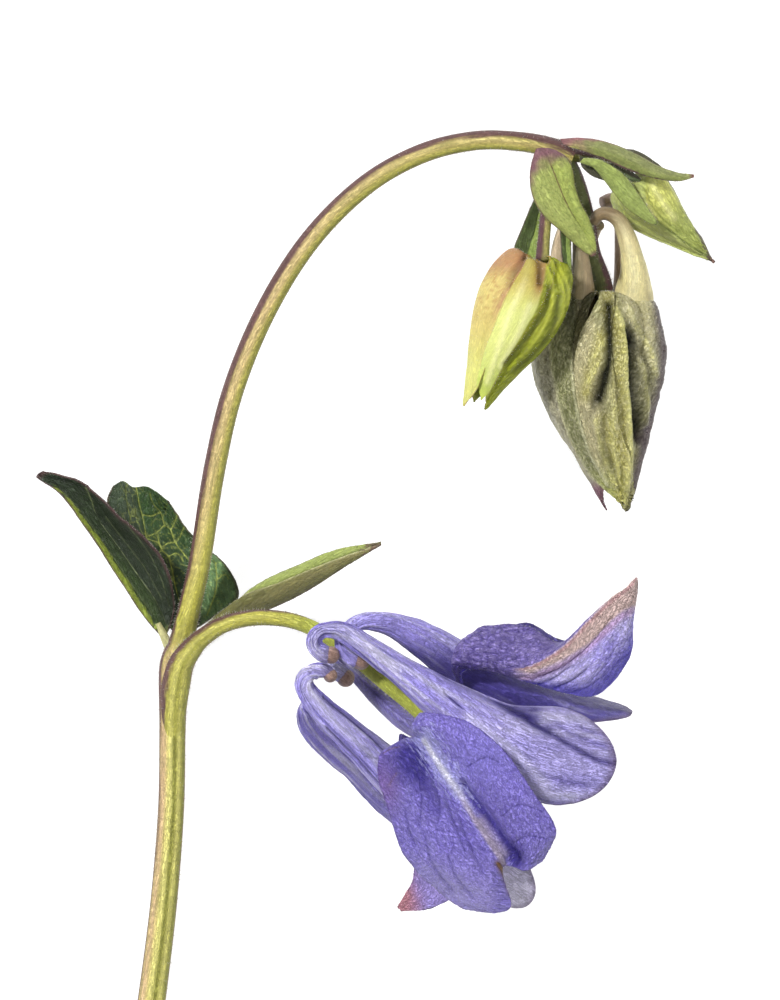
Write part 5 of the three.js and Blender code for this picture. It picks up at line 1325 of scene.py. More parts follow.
def bud_large():
    ridge = [
        [61.4, 30.8], [62.2, 32.6], [62.5, 34.6], [62.5, 37], [62.7, 40], [62.9, 44], [62.8, 48],
        [62.7, 50.6],
    ]
    left_groove = [[[60.9, 30.2], [61, 33], [61, 35.6], [60.6, 37.8], [59.9, 40.2]]]
    right_groove = [[[62.9, 33], [63.2, 34.6], [63.3, 37.5], [63.7, 41], [64, 44]]]
    seam = [[57.5, 33.4], [57.2, 36], [57.4, 39], [58, 42], [59.1, 45.4], [60.8, 48.4]]
    outer_seam = [[54.9, 33], [55.2, 36.5], [55.9, 40], [57.1, 43.8], [58.9, 47], [60.8, 49.4]]
    folds = [
        [[62.8, 30.8], [64, 33.2], [65.1, 35.2], [65.6, 37.4]],
        [[64.2, 36.4], [64.8, 39.4], [64.8, 42.4]],
        [[61.5, 40.5], [61.3, 44], [61.9, 47.6]],
        [[59.8, 36.4], [58.9, 38.2]],
        [[60.5, 34.2], [59.2, 36]],
        [[59.6, 42], [60.4, 45.4], [61.6, 48.4]],
    ]
    # Lines of golden crinkles that get a painted highlight.
    gold_highlights = [[[60.1, 33.6], [59.7, 35.6], [59, 37.6], [58.6, 39.4]], [[60.6, 42], [61.4, 45.6]]]
    right_side = [[65.6, 30], [66.2, 34], [66.2, 38], [65.5, 41], [64.3, 45], [63.5, 48], [63.2, 51.2]]
    hollows = [
        [[63.4, 33.6], [64.8, 36.4], [65, 39.2]],
        [[60.2, 37.4], [59.4, 39.4], [59.3, 41.4]],
        [[60.4, 41], [60.4, 44.2], [61.3, 47]],
        [[65, 37.4], [65.3, 40.2], [64.7, 43.2]],
    ]

    def features(patch, k):
        x, y = patch.at()
        seen = seen_from_above(patch)
        net = net_veins(patch, 0.55, 0.07, 71)
        rough_net = patch.crinkle(0.4, 1.3, 72)
        from_seam = patch.right_of(seam)
        from_outer = patch.right_of(outer_seam)
        from_ridge = patch.right_of(ridge)
        low_end = ease(y, 43.0, 49.0)
        lift = 0.055 * rough_net + 0.04 * net + 0.1 * noise(patch.p / (1.7 * MM), 73)
        lift += seen * (0.45 * patch.strokes([ridge], 0.3) - 0.95 * patch.strokes(left_groove, 0.55))
        lift += seen * (-0.8 * patch.strokes(right_groove, 0.42) + 0.2 * patch.strokes(folds, 0.3))
        lift += seen * (0.16 * patch.strokes([seam], 0.22) + 0.12 * patch.strokes([outer_seam], 0.25))
        lift -= seen * 0.2 * patch.strokes(hollows, 0.34)
        front = ease(from_outer, -0.05, 0.15) * seen
        # A painted cast shadow on the sepals left of and under the front one.
        behind = 0.75 * ease(38.0 - y, 0, 7.0) * ease(x - 54.8, 0, 2.4) * (k in (2, 3)) * seen
        grooves = patch.strokes(left_groove, 0.52) + patch.strokes(right_groove, 0.5)
        # Painted shade in the grooves and hollows, with that painted cast shadow.
        dark = seen * to_share(grooves + 0.45 * patch.strokes(hollows, 0.4) + behind)
        shade = patch.strokes(left_groove, 1.2) * ease(y, 37.0, 32.0) + patch.strokes(right_groove, 1.0)
        # Painted highlight along the keel ridge and the folds.
        keel = patch.strokes([ridge], 0.24) * (1 - 0.5 * low_end) + 0.5 * patch.strokes(folds, 0.26)
        # Painted light on the upper right part of the bud.
        bright = seen * ease(66.0 - x, -0.4, 1.2) * ease(37.0 - y, -1.5, 3.5)
        seams = patch.strokes([seam], 0.14) + 0.6 * patch.strokes([outer_seam], 0.14)
        return lift, {
            # A painted sheen on the left flank, and a painted highlight on the front lobe's left part.
            "silver": ease(from_outer, 0.05, -0.2) * seen,
            "band": front * ease(from_seam, 0.12, -0.12),
            "seam": seen * to_share(seams),
            "haze": front * ease(from_seam, 0.0, 0.3) * ease(from_ridge, -1.9, -3.4) * (1 - 0.6 * low_end),
            "groove": dark,
            "dusk": seen * shade,
            "keel": seen * to_share(keel),
            # Painted highlight beside the ridge and on the golden crinkles.
            "glow": seen * front * to_share(bump(from_ridge, -0.6, 0.7) + patch.strokes(gold_highlights, 0.75)),
            "net": seen * net * ease(from_ridge, 0.3, 0.8),
            "bright": bright * ease(from_ridge, 0.4, 1.2),
            "purple": ease(patch.right_of(right_side), -1.0, 0.1),
            "end": ease(y, 46.0, 50.0) * (k != 3),
            "tip": ease(y, 47.6, 49.0) * (k == 3) + 0.6 * ease(patch.u, 0.992, 1.0),
            # Painted shade in the crinkles.
            "crease": ease(rough_net, 0.0, -1.0),
            "glint": ease(rough_net, 0.5, 1.4) * (0.5 + 0.5 * ease(from_ridge, 0.4, 1.4)) * (1 - 0.95 * dark),
        }

    # silver, haze, bright, glow and keel are painted light; dusk, groove and crease are painted shade.
    layers = [
        ("band", "84875a", 0.85), ("haze", "cbc196", 0.85), ("silver", "a9a387", 0.9),
        ("bright", "d2c994", 0.85), ("net", "e2dcac", 0.2), ("end", "bcc268", 0.9),
        ("dusk", "5a593a", 0.6), ("glow", "bdb560", 0.75), ("keel", "ece88e", 0.95),
        ("seam", "cdcba2", 0.8), ("groove", "14160a", 0.97), ("crease", "34361e", 0.45),
        ("glint", "f2ecc0", 0.7), ("purple", "5f4e58", 0.9), ("tip", "84506a", 0.85),
    ]
    look = tissue(
        "bud_large_grey", "b4b07c", layers, (0.6, 0.06), (0.1, 0.012), 0.25,
        wrinkle=(0.22, 0.4, 0.05, 0.2, 0.1),
    )
    middle = [
        [0, -13, 2], [0.25, -12, 3], [0.34, -12, 8], [0.42, -12, 15], [0.5, -13, 20], [0.7, -14, 26],
        [1, -36, 36],
    ]
    sepals = [
        (middle, 0.42, 0),
        ([[0, -112, -2], [0.7, -112, -8], [1, -110, -10]], 0.06, 0),
        ([[0, 0, 22], [0.12, 6, 34], [0.3, 10, 42], [0.6, 8, 46], [0.8, 0, 56], [1, -10, 60]], 0.18, 0),
        ([[0, 16, 128], [1, 20, 128]], 0, 1),
        ([[0, 112, 262], [1, 112, 262]], 0.06, 2),
    ]
    patches = bud("bud_large", BUD_LARGE, (130, 50), look, features, sepals)
    bud_hairs("bud_large", patches, 2100, 0.18, 73)


def bud_right():
    seam = [[64.6, 21], [65.6, 22], [67.6, 23.5], [69.6, 24.9], [71.4, 26]]
    dark_edge = [[66.1, 17.4], [67.2, 18.6], [68.6, 20.8], [69.6, 23], [70.8, 25.2]]
    lobes = [
        [[63.9, 18.9], [64.3, 20.2], [65.2, 21.3]],
        [[65.2, 18.6], [66.2, 20.2], [67.4, 21.8]],
    ]
    dips = [
        [[64.8, 18.8], [65.2, 20.4], [66.4, 21.9], [68.2, 23.4]],
        [[65.6, 20.4], [66.6, 21.4]],
    ]

    def features(patch, k):
        x, y = patch.at()
        seen = seen_from_above(patch)
        under = -patch.right_of(seam)
        edge = patch.right_of(dark_edge)
        lift = 0.03 * patch.crinkle(0.4, 2.0, 81) + 0.05 * noise(patch.p / (1.2 * MM), 82)
        lift += seen * (0.24 * patch.strokes(lobes, 0.4) - 0.22 * patch.strokes(dips, 0.22))
        lift -= seen * 0.1 * patch.strokes([seam], 0.12)
        upper = ease(under, 0.1, -0.1) * ease(edge, 0.1, -0.15)
        return lift, {
            "yellow": upper * bump((x - 65.3) * 0.72 + (y - 20.0) * 0.69, 0.2, 2.2),
            # A painted highlight on the lobes' tops, and painted shade in the seam and the dips.
            "lobe": seen * patch.strokes(lobes, 0.3) * upper,
            "low": ease(under, -0.05, 0.1),
            "seam": seen * (patch.strokes([seam], 0.09) + 0.6 * patch.strokes(dips, 0.12)),
            "dark": ease(edge, -0.2, 0.15),
            "net": 0.6 * net_veins(patch, 0.5, 0.06, 83),
            "end": ease(patch.u, 0.94, 1.0),
        }

    # lobe is a painted highlight, seam painted shade.
    layers = [
        ("low", "b2ba6c", 0.85), ("net", "c6cc80", 0.35), ("yellow", "d8d973", 0.9),
        ("lobe", "f0efa0", 0.7), ("seam", "59662c", 0.75), ("dark", "5b5048", 0.85, 0.2),
        ("end", "a0706a", 0.7),
    ]
    look = tissue(
        "bud_right_green", "a4ae5a", layers, (0.5, 0.06), (0.1, 0.01), 0.34,
        wrinkle=(0.24, 0.8, 0.03, 0.2, 0.2),
    )
    sepals = [
        ([[0, -62, 12], [1, -60, 14]], 0.1, 0),
        ([[0, 0, 95], [1, 0, 95]], 0.02, 0),
        ([[0, -128, -48], [1, -128, -48]], 0, 0),
        ([[0, 85, 165], [1, 85, 165]], 0.08, 0),
        ([[0, 150, 245], [1, 150, 245]], 0, 0),
    ]
    patches = bud("bud_right", BUD_RIGHT, (66, 26), look, features, sepals)
    bud_hairs("bud_right", patches, 700, 0.18, 82)


def bud_spurs():
    # olive is painted shade here, as is the tan that the shade tone brings.
    layers = [
        ("tan", "786347", 0.9), ("cream", "f4e8a8", 0.9), ("olive", "4d472e", 0.9),
        ("rosy", "b79a90", 0.85), ("streak", "8d7750", 0.5), ("shine", "f3ebbd", 0.6),
    ]
    look = tissue(
        "spur_tan", "dccba0", layers, (0.5, 0.06), (0.1, 0.01), 0.36,
        subsurface=0.2, wrinkle=(0.2, 1.8, 0.02, 0.14, 0.14),
    )
    plain = {"cream": 0.0, "olive": 0.0, "rosy": 0.0, "shade": 0.0, "shine": 0.2}
    tones = (
        {**plain, "cream": 1.0, "tan": 1.0, "shine": 1.0},
        {**plain, "olive": 1.0, "tan": 0.4, "shade": 0.85},
        {**plain, "rosy": 0.5, "tan": 0.1},
        {**plain, "olive": 0.8, "tan": 0.6},
        {**plain, "rosy": 1.0, "tan": 0.8},
    )
    for k, (rows, tone) in enumerate(zip(BUD_SPURS, tones)):

        def relief(s, q):
            uneven = noise(np.stack([np.cos(q), np.sin(q), s * 9], -1) * 1.4, k)
            return 0.05 * ribs(q, s * 14, 10, 6, 90 + k) + 0.03 * uneven

        def masks(patch, s, q):
            foot = ease(s, 0.35, 0.0)
            # Painted shade in olive down one side and at the foot, where the bud and the bracts shade the
            # spur.
            green = tone["olive"] * np.maximum(ease(q, 0.5, -0.5), foot)
            return {
                "tan": np.maximum(tone["tan"] * ease(s, 0.3, 0.75), tone["shade"]),
                "cream": tone["cream"] * ease(s, 0.75, 0.3),
                "olive": green + 0.35 * tone["cream"] * ease(s, 0.3, 0.0),
                "rosy": tone["rosy"],
                "streak": ease(ribs(q, s * 14, 12, 8, 95 + k), 0.1, 0.9),
                "shine": bump(q, -0.15, 0.4) * ease(s, 0.85, 0.3) * tone["shine"],
            }

        skin = Skin()
        tube(skin, rows, (84, 30), relief, masks)
        name = "bud_spur_" + str(k + 1)
        skin.piece(name + "_dressed", look, [name])


# ---------------------------------------------------------------- the flower's sepals


def violet(name, base, layers, wrinkle=(0.2, 0.5, 0.045, 0.22, 0.1)):
    """The tissue of the flower's sepals and petals."""
    return tissue(name, base, layers, (0.2, 0.11), (0.12, 0.032), 0.3, wrinkle=wrinkle)


def sepal_front():
    midrib = [[[42.5, 73.9], [44.1, 76.5], [46, 79.4], [47.4, 81.8], [49, 84.2], [50.4, 86.3]]]
    shadow = [[[46.2, 78.4], [47.6, 80.2], [49.2, 82.2], [50.6, 84.2], [51.6, 86]]]
    wide_foot = [[[48, 82], [49.2, 83.8], [50.2, 85.2]]]
    corner_streak = [[[41.2, 75.4], [42.4, 78.2], [43.4, 81]]]
    right_creases = [
        [[46.9, 76.4], [48.6, 75.6], [50.4, 76.4]],
        [[50.2, 81.4], [51.8, 80.3], [54, 80.9]],
        [[51.2, 84.2], [52.6, 83.4], [54.2, 83.6]],
    ]
    left_creases = [
        [[41.6, 77.2], [42.2, 79.6], [42, 82.4]],
        [[43.2, 77.8], [43.9, 80.4], [43.8, 83]],
        [[44.6, 80.2], [45.5, 82.6], [46.4, 84.9]],
        [[46, 82.2], [47, 84.6], [48.3, 87.2]],
        [[42.6, 83.4], [43.4, 86.2], [45.2, 88.8]],
        [[44.8, 85.4], [45.8, 87.6], [47.4, 89.6]],
        [[40.6, 80.6], [40.9, 82.6], [41.6, 84.4]],
    ]
    opening = [[[49.7, 86.2], [50.1, 86.9], [50.6, 87.8], [51, 89]]]
    cuts = [[[38.4, 75.3], [39.2, 74.9], [40, 74.7]], [[39, 78.4], [39.5, 77.6], [39.8, 77.2]]]

    def relief(patch):
        seen = seen_from_above(patch)
        lift = 0.055 * patch.crinkle(0.5, 1.8, 91) + 0.22 * noise(patch.p / (2.8 * MM), 92)
        lift += 0.22 * patch.strokes(midrib, 0.3) - 0.85 * patch.strokes(shadow, 0.6)
        creased = patch.strokes(right_creases, 0.16) + patch.strokes(left_creases, 0.22)
        return seen * (lift - 0.12 * creased) + (1 - seen) * lift

    def masks(patch, side):
        x, y = patch.at()
        above = side > 0
        folds = patch.crinkle(0.5, 1.8, 91)
        midrib_pale = patch.strokes(midrib, 0.3) * (1 - 0.9 * ease(y, 77, 82))
        midrib_beige = patch.strokes(midrib, 0.2) * ease(y, 78, 81.5)
        # Painted shade in the base corner, in the hollow right of the midrib and at the opening.
        corner = 1.1 * dot(x, y, (41.0, 76.0), 2.5, narrow=1.1) + 0.5 * patch.strokes(corner_streak, 0.7)
        hollow_shade = 1.1 * patch.strokes(shadow, 0.55) + 0.8 * dot(x, y, (51.6, 85.2), 1.0)
        return {
            # Painted shade in the fold creases and a painted highlight on their ridges.
            "fold": ease(folds, 0.1, -0.9),
            "ridge": ease(folds, 0.6, 1.4),
            "pale": above * 1.1 * midrib_pale,
            "halo": above * patch.strokes(midrib, 1.5) * (1 - 0.8 * ease(y, 76, 83)),
            "beige": above * to_share(midrib_beige + 0.8 * patch.strokes(wide_foot, 0.5)),
            # The deep mask is that painted shade.
            "deep": above * to_share(corner + hollow_shade),
            # Painted light on the top of the right lobe.
            "blue": above * dot(x, y, (48.2, 75.6), 2.2, narrow=0.8),
            # Painted shade along the drawn creases.
            "crease": to_share(patch.strokes(right_creases, 0.12) + 0.8 * patch.strokes(left_creases, 0.14)),
            "rosy": ease(40.8 - x, -0.3, 2.0) * bump(y, 78.4, 2.6),
            "brown": to_share(patch.strokes(opening, 0.32) * 1.3 + 0.6 * patch.strokes(cuts, 0.06)),
            "rim": ease(np.minimum(patch.v, 1 - patch.v), 0.02, 0.0),
            "low": ease(y, 84.0, 90.0) * ease(50.0 - x, 0, 1.5),
        }

    # fold, deep and crease are painted shade; ridge and blue are painted light.
    layers = [
        ("fold", "5a4ba6", 0.42), ("ridge", "aaa0ec", 0.42), ("blue", "9288e4", 0.7),
        ("low", "aea2ee", 0.75), ("rosy", "8a66ac", 0.7), ("deep", "35298a", 0.88),
        ("crease", "42378c", 0.6), ("halo", "b4b2ee", 0.8, 0.3), ("pale", "e8e7fb", 0.95),
        ("beige", "b0a2b4", 0.85), ("rim", "5b4aa0", 0.5), ("brown", "7d5c2a", 0.95),
    ]
    look = violet("sepal_front_violet", "8578d2", layers, (0.2, 0.42, 0.05, 0.26, 0.1))
    patch = leafy("sepal_front", SEPAL_FRONT, (176, 132), relief, masks, look)
    fringe("sepal_front", patch, 420, 94, ease(0.3 - patch.u, 0, 0.2) + 0.1)


def sepal_top():
    long_folds = [
        [[53.6, 67.6], [55.8, 66.8], [58, 65.3], [59.6, 63.6], [61, 61.8]],
        [[53.4, 68.4], [55.2, 67.8], [56.8, 66.7]],
        [[55.4, 68.7], [57.2, 67.9], [58.6, 66.8]],
    ]
    faint_folds = [
        [[58.6, 68.2], [60.2, 66.6], [61.4, 64.6]],
        [[60.4, 67.6], [61.8, 65.8]],
        [[57.2, 69.2], [59, 68.4], [60.4, 67.2]],
        [[60.6, 64.8], [61.9, 62.8], [62.6, 60.9]],
        [[56.6, 66.9], [58.6, 65.9], [60, 64.4]],
    ]
    hump_edge = [[[45.2, 66.6], [48.6, 67], [51.6, 68], [54.6, 69.2]]]
    beige_edge = ((51.5, 53.0, 56.0, 58.6, 60.6, 62.0, 63.6), (67.1, 67.3, 66.1, 64.5, 62.6, 61.2, 60.4))

    def relief(patch):
        hump = ease(0.55 - patch.u, 0, 0.12)
        quilt = 0.05 * patch.crinkle(0.6, 1.5, 101) + 0.16 * noise(patch.p / (1.5 * MM), 103)
        lift = hump * quilt + 0.05 * patch.crinkle(0.4, 2.4, 102)
        folded = 0.24 * patch.strokes(long_folds, 0.22) + 0.08 * patch.strokes(faint_folds, 0.26)
        return lift - (1 - hump) * folded

    def masks(patch, side):
        x, y = patch.at()
        folds = patch.crinkle(0.6, 1.5, 101)
        fine = patch.crinkle(0.4, 2.4, 102)
        front = ease(patch.v, 0.545, 0.505)
        distal = front * ease(patch.u, 0.4, 0.46) + (1 - front) * ease(patch.u, 0.62, 0.8)
        hump = 1 - distal
        above_edge = np.interp(x, *beige_edge) - y
        lit = ease(folds, 0.6, 1.4) + 0.4 * dot(x, y, (53.0, 65.6), 2.4)
        creased = patch.strokes(long_folds, 0.15) + 0.6 * patch.strokes(faint_folds, 0.1)
        return {
            # Dark violet on the half blade turned from the light: partly its own violet, partly painted
            # shade.
            "hump": hump,
            "glint": hump * to_share(lit),
            "beige": to_share(distal * ease(above_edge, -0.25, 0.35) + ease(patch.u, 0.88, 0.95)),
            "pink": distal * bump(above_edge, -0.35, 0.5),
            "deep": distal * ease(patch.v, 0.24, 0.04) + hump * ease(patch.v, 0.12, 0.0) * 0.8,
            # Painted light on the right of the blade.
            "blue": distal * dot(x, y, (61.0, 65.6), 2.4),
            # Painted shade in the fine creases and the folds.
            "fine": distal * ease(fine, 0.0, -1.0),
            "gleam": distal * ease(fine, 0.5, 1.5),
            "crease": to_share(distal * creased + hump * ease(folds, 0.1, -0.9)),
            "rim": distal * bump(patch.v, 0.5, 0.025),
            # Painted shade along the hump's lower edge and by its left end.
            "edge": to_share(patch.strokes(hump_edge, 0.3) + dot(x, y, (46.0, 67.6), 1.2)) * hump,
        }

    # hump is partly painted shade; edge, fine and crease are painted shade; blue is painted light.
    layers = [
        ("hump", "6354a0", 0.95), ("glint", "a495d6", 0.75), ("blue", "998bf2", 0.8),
        ("fine", "6658c0", 0.5), ("gleam", "e6e0ff", 0.5), ("pink", "c29cc4", 0.8),
        ("crease", "3b3080", 0.55), ("edge", "2f2466", 0.85), ("deep", "4639cc", 0.8),
        ("beige", "d2b5a6", 0.9), ("rim", "a8707c", 0.6),
    ]
    look = violet("sepal_top_violet", "cec4ff", layers, (0.2, 0.5, 0.05, 0.28, 0.1))
    patch = leafy("sepal_top", SEPAL_TOP, (156, 104), relief, masks, look)
    fringe("sepal_top", patch, 900, 104, ease(patch.u, 0.1, 0.2), long=0.16)


def plain_sepal(name, rows, size, layers, base, seed, extra=None):
    """A wrinkled violet sepal without folds of its own; extra(patch): masks beside the common ones."""

    def relief(patch):
        return 0.05 * patch.crinkle(0.5, 1.8, seed) + 0.1 * noise(patch.p / (2.2 * MM), seed + 1)

    def masks(patch, side):
        folds = patch.crinkle(0.5, 1.8, seed)
        shares = {
            # Painted shade in the fold creases and a painted highlight on their ridges.
            "crease": ease(folds, 0.2, -0.8),
            "ridge": ease(folds, 0.7, 1.5),
            "rim": ease(np.abs(patch.v - 0.5), 0.47, 0.5),
        }
        return {**shares, **(extra(patch) if extra else {})}

    look = violet(name + "_violet", base, layers)
    patch = leafy(name, rows, size, relief, masks, look)
    fringe(name, patch, 240, seed, long=0.16)


def other_sepals():
    # ridge is a painted highlight, crease painted shade.
    shared = [("ridge", "a39ddd", 0.3), ("crease", "4d4199", 0.35), ("rim", "50448c", 0.6)]

    def low_masks(patch):
        x, y = patch.at()
        ragged = y + (42.6 - x) * 1.2 + 0.8 * noise(patch.p / (0.9 * MM), 115)
        return {
            "salmon": ease(ragged, 87.4, 92.2) * ease(x - 39.4, 3.8, 1.0),
            "deep": ease(75.8 - y, -0.6, 1.0),
        }

    salmon = [*shared, ("deep", "40357f", 0.85), ("salmon", "c4868e", 0.95)]
    plain_sepal("sepal_low", SEPAL_LOW, (112, 50), salmon, "a595dc", 111, low_masks)
    plain_sepal("sepal_behind", SEPAL_BEHIND, (72, 42), shared, "5a4f98", 121)
    plain_sepal("sepal_under", SEPAL_UNDER, (72, 42), shared, "6f64b0", 131)


# ---------------------------------------------------------------- the flower's petals


def knob_rows(rows, radius):
    """Rows of a round knob at a spur's end, nearly from pole to pole, its middle a little behind the end."""
    tip, before = np.array(rows[0][:3]), np.array(rows[1][:3])
    ahead = unit(tip - before)
    shares = np.sin(np.linspace(-0.47, 0.47, 13) * np.pi)
    return [[*(tip + ahead * (share - 0.35) * radius), radius * math.sqrt(1 - share**2)] for share in shares]


def knob_masks(patch, s, q):
    streaks = ease(ribs(q, s * 2, 9, 1.5, 6), 0.1, 0.5) * ease(s, 0.8, 0.2)
    return {"amber": 1.0, "vein": to_share(streaks + ease(s, 0.5, 0.1))}


def petal(name, spec, size, features, look, bead):
    """A spurred petal: an outer and an inner skin that meet at the blade's rim, the claw and the knob.

    features(patch, f, q): the relief in millimetres and the masks, f going from the spur's tip to the rim and
    q round from the upper side; bead: the knob's radius in millimetres.
    """
    skin = Skin()
    rows, out = spec["rows"], way(spec["facing"])
    f, q = turns(*size)
    f = f**1.15  # closer rings near the tip
    reach = spec["mouth"] + (1 - spec["mouth"]) * (0.5 + 0.5 * np.cos(q)) ** spec["round"]
    knob = np.sqrt(np.clip(1 - (1 - np.clip(f / KNOB, 0, 1)) ** 2, 0.02, 1))
    patch = Patch(f, q / (2 * np.pi) + 0.5, ring_points(rows, f * reach, q, out, knob), wrap=True)
    patch.out = -patch.out
    lift, masks = features(patch, f, q)
    patch.p = patch.p + patch.out * (lift * knob)[..., None] * MM
    shares = {"run": patch.run, "span": patch.span, **masks}
    outer = skin.grid(patch.p, shares, wrap=True, flip=True)
    out_ways = -normals(patch.p, wrap=True)

    back = np.linspace(1, 0.5, 50)  # the inner skin goes half way back from the rim
    rim, middle = PETAL_WALL
    thick = (rim + (middle - rim) * ease(1 - back, 0, 0.12))[:, None, None] * MM
    index = back * (size[0] - 1)
    low = np.floor(index).astype(int)
    high = np.minimum(low + 1, size[0] - 1)
    part = (index - low)[:, None, None]

    def mixed(grid):
        return grid[low] * (1 - part) + grid[high] * part

    inside = mixed(patch.p) - unit(mixed(out_ways)) * thick
    inner_shares = {k: np.broadcast_to(m, f.shape)[low] for k, m in shares.items()}
    inner_shares["inside"] = 1.0
    inner = skin.grid(inside, inner_shares, wrap=True, flip=True)
    skin.bridge(np.stack([np.append(outer[-1], outer[-1, 0]), np.append(inner[0], inner[0, 0])]), flip=True)
    ends(skin, outer, patch.p, shares, high=False)
    ends(skin, inner, inside, inner_shares, low=False)
    # The claws are given painted shade.
    tube(skin, spec["claw"], (16, 12), smooth, lambda patch, s, q: {"deep": 0.9})
    tube(skin, knob_rows(rows, bead), (20, 22), lambda s, q: 0.02 * ribs(q, s * 2, 6, 1, 5), knob_masks)
    skin.piece("petal_" + name + "_dressed", look, ["petal_" + name])


def petal_features(seed, tones, strokes):
    """Relief and colours of a petal.

    tones: shares of some masks, and "dusk", (from, to), where the deep blade begins and is full; strokes:
    (lines, width, depth, mask) drawn on the upper side.
    """
    tones = {"spur": 0, "blade": 0, "grey": 0, "deep": 0, "dusk": (-1.0, -0.9), "streaks": 1.0, **tones}

    def features(patch, f, q):
        seen = seen_from_above(patch)
        spur = ease(0.8 - f, 0, 0.2)
        up = patch.out[..., 2]
        fine = ribs(q, patch.run, 30, 5, seed)
        broad = ribs(q, patch.run, 6, 8, seed + 2)
        streaked = ease(f, 0.08, 0.16) * tones["streaks"] * (0.4 + 0.6 * spur)
        lift = (0.09 * fine + 0.3 * broad) * (0.25 + 0.75 * spur) * ease(f, 0.08, 0.2)
        lift += 0.03 * patch.crinkle(0.35, 2.0, seed + 4)
        lift += 0.08 * noise(patch.p / (2.0 * MM), seed + 1) * ease(f, 0.1, 0.3)
        # A painted highlight on the spur's upper side.
        pale_spur = tones["spur"] * ease(0.68 - f, 0, 0.3) * ease(up, 0.2, 0.9)
        masks = {
            "smoky": ease(0.15 - f, -0.02, 0.08),
            # Painted shade on the spur's sides that turn away from above.
            "side": spur * ease(up, 0.75, 0.15),
            # The streaks: partly the petal's own lines, partly painted light on the raised ribs and painted
            # shade in the sunk ones.
            "light": ease(0.8 * fine + 0.6 * broad, 0.05, 0.5) * streaked,
            "dark": ease(0.8 * fine + 0.6 * broad, -0.15, -0.55) * streaked,
            "rim": ease(f, 0.985, 1.0),
            # With the blade tone, the pale and bright masks are painted light on the blade's end, which the
            # front sepal shades.
            "pale": pale_spur + tones["blade"] * ease(f, 0.6, 0.85),
            "bright": tones["blade"] * ease(f, 0.74, 0.9),
            # Painted shade over the blade.
            "deep": tones["deep"] * ease(f, *tones["dusk"]),
            "grey": tones["grey"] * ease(f, 0.62, 0.9),
        }
        for lines, width, depth, mask in strokes:
            drawn = seen * patch.strokes(lines, width)
            lift = lift + depth * drawn
            if mask:
                masks[mask] = to_share(masks.get(mask, 0) + drawn)
        return lift, masks

    return features


def petals():
    # side, deep, dark, fold and line are painted shade; pale, bright, light and glow are painted light; light
    # and dark are partly the petal's own streaks.
    layers = [
        ("inside", "8a82c4", 0.5), ("side", "8276dc", 0.5), ("pale", "dcd6ff", 0.88),
        ("grey", "c0b8ec", 0.8), ("bright", "eae4ff", 0.95), ("deep", "423693", 0.88),
        ("light", "ece8ff", 0.65), ("dark", "453aa4", 0.62), ("smoky", "6c5f8e", 0.6),
        ("fold", "6a5fb0", 0.6), ("line", "352b72", 0.9), ("glow", "dcd7fa", 0.68),
        ("rim", "7d6a92", 0.7), ("amber", "b8957c", 0.95), ("vein", "665488", 0.75),
    ]
    look = violet("petal_violet", "b3a7ff", layers, wrinkle=(0.16, 1.2, 0.05, 0.34, 0.08))
    lip_folds = [
        [[56.6, 71.6], [58.4, 72.8], [60.4, 73.4]],
        [[55.2, 71.9], [57.4, 73.4], [60.6, 74.6]],
    ]
    blade_folds = [
        [[50.2, 75.6], [54, 77.4], [58.4, 78.4]],
        [[50.8, 77.6], [54, 79.8], [56.8, 80.2]],
    ]
    front_strokes = [
        # Painted shade: deep strokes for the top petal's shadow, line strokes for the shadow along the fold,
        # fold strokes for shade in the folds; the glow strokes are painted highlights.
        ([[[53.4, 72], [57.3, 74.5], [59.7, 75.8], [61.4, 76.3]]], 0.6, -0.75, None),
        (lip_folds, 0.22, -0.12, "fold"),
        (blade_folds, 0.26, -0.1, "fold"),
        ([[[44.6, 67.2], [48, 68.7], [51, 70.7], [54.4, 72.8]]], 0.7, -0.25, "deep"),
        ([[[50.2, 70.2], [54.4, 72.8], [57.3, 74.6], [59.7, 75.9], [61.4, 76.3]]], 0.36, 0, "line"),
        ([[[48.4, 67.2], [50.8, 68.7], [53.4, 70.4]]], 0.9, -0.1, "deep"),
        ([[[54.4, 71.6], [57, 71.7], [60, 71.8]]], 0.5, 0.1, "glow"),
        ([[[33.4, 63.4], [35.2, 63.9], [37.6, 65.2], [41, 67], [44.4, 69.4]]], 0.36, 0, "glow"),
        ([[[43, 68.4], [44.8, 69.6], [46.2, 70.8]]], 0.16, -0.12, "line"),
        ([[[46.8, 71.6], [51, 74.8], [54.6, 78.4]]], 0.5, 0.05, "glow"),
        ([[[51, 76.4], [54, 79], [57.2, 79.6]]], 0.5, 0.05, "glow"),
    ]
    low_strokes = [
        # The glow stroke is a painted highlight, the line strokes painted shade in grooves.
        ([[[31.4, 69.4], [33.6, 72.2], [36.6, 75], [38.2, 76.8]]], 0.4, 0.04, "glow"),
        ([[[32.6, 72.6], [35.4, 75.6], [38, 78.4]]], 0.14, -0.1, "line"),
        ([[[32.4, 69.6], [35.4, 72.2], [38.4, 75]]], 0.14, -0.1, "line"),
    ]
    plans = (
        # name, size, seed, tones, strokes, the knob's radius
        # spur: a painted highlight on the spur's upper side; blade: painted light on the shaded blade; deep:
        # painted shade.
        ("front", (190, 104), 141, {"spur": 0.75, "grey": 0.85}, front_strokes, 0.88),
        ("top", (140, 80), 155, {"spur": 0.25, "streaks": 0.6, "deep": 1.0, "dusk": (0.64, 0.8)}, (), 0.95),
        ("low_front", (140, 84), 161, {"spur": 0.55, "blade": 1.0}, low_strokes, 0.72),
        ("low_back", (100, 60), 171, {"deep": 0.45}, (), 0.75),
        ("back", (100, 60), 181, {"spur": 1.1}, (), 0.92),
    )
    for name, size, seed, tones, strokes, bead in plans:
        petal(name, PETALS[name], size, petal_features(seed, tones, strokes), look, bead)


# ---------------------------------------------------------------- stamens and carpels


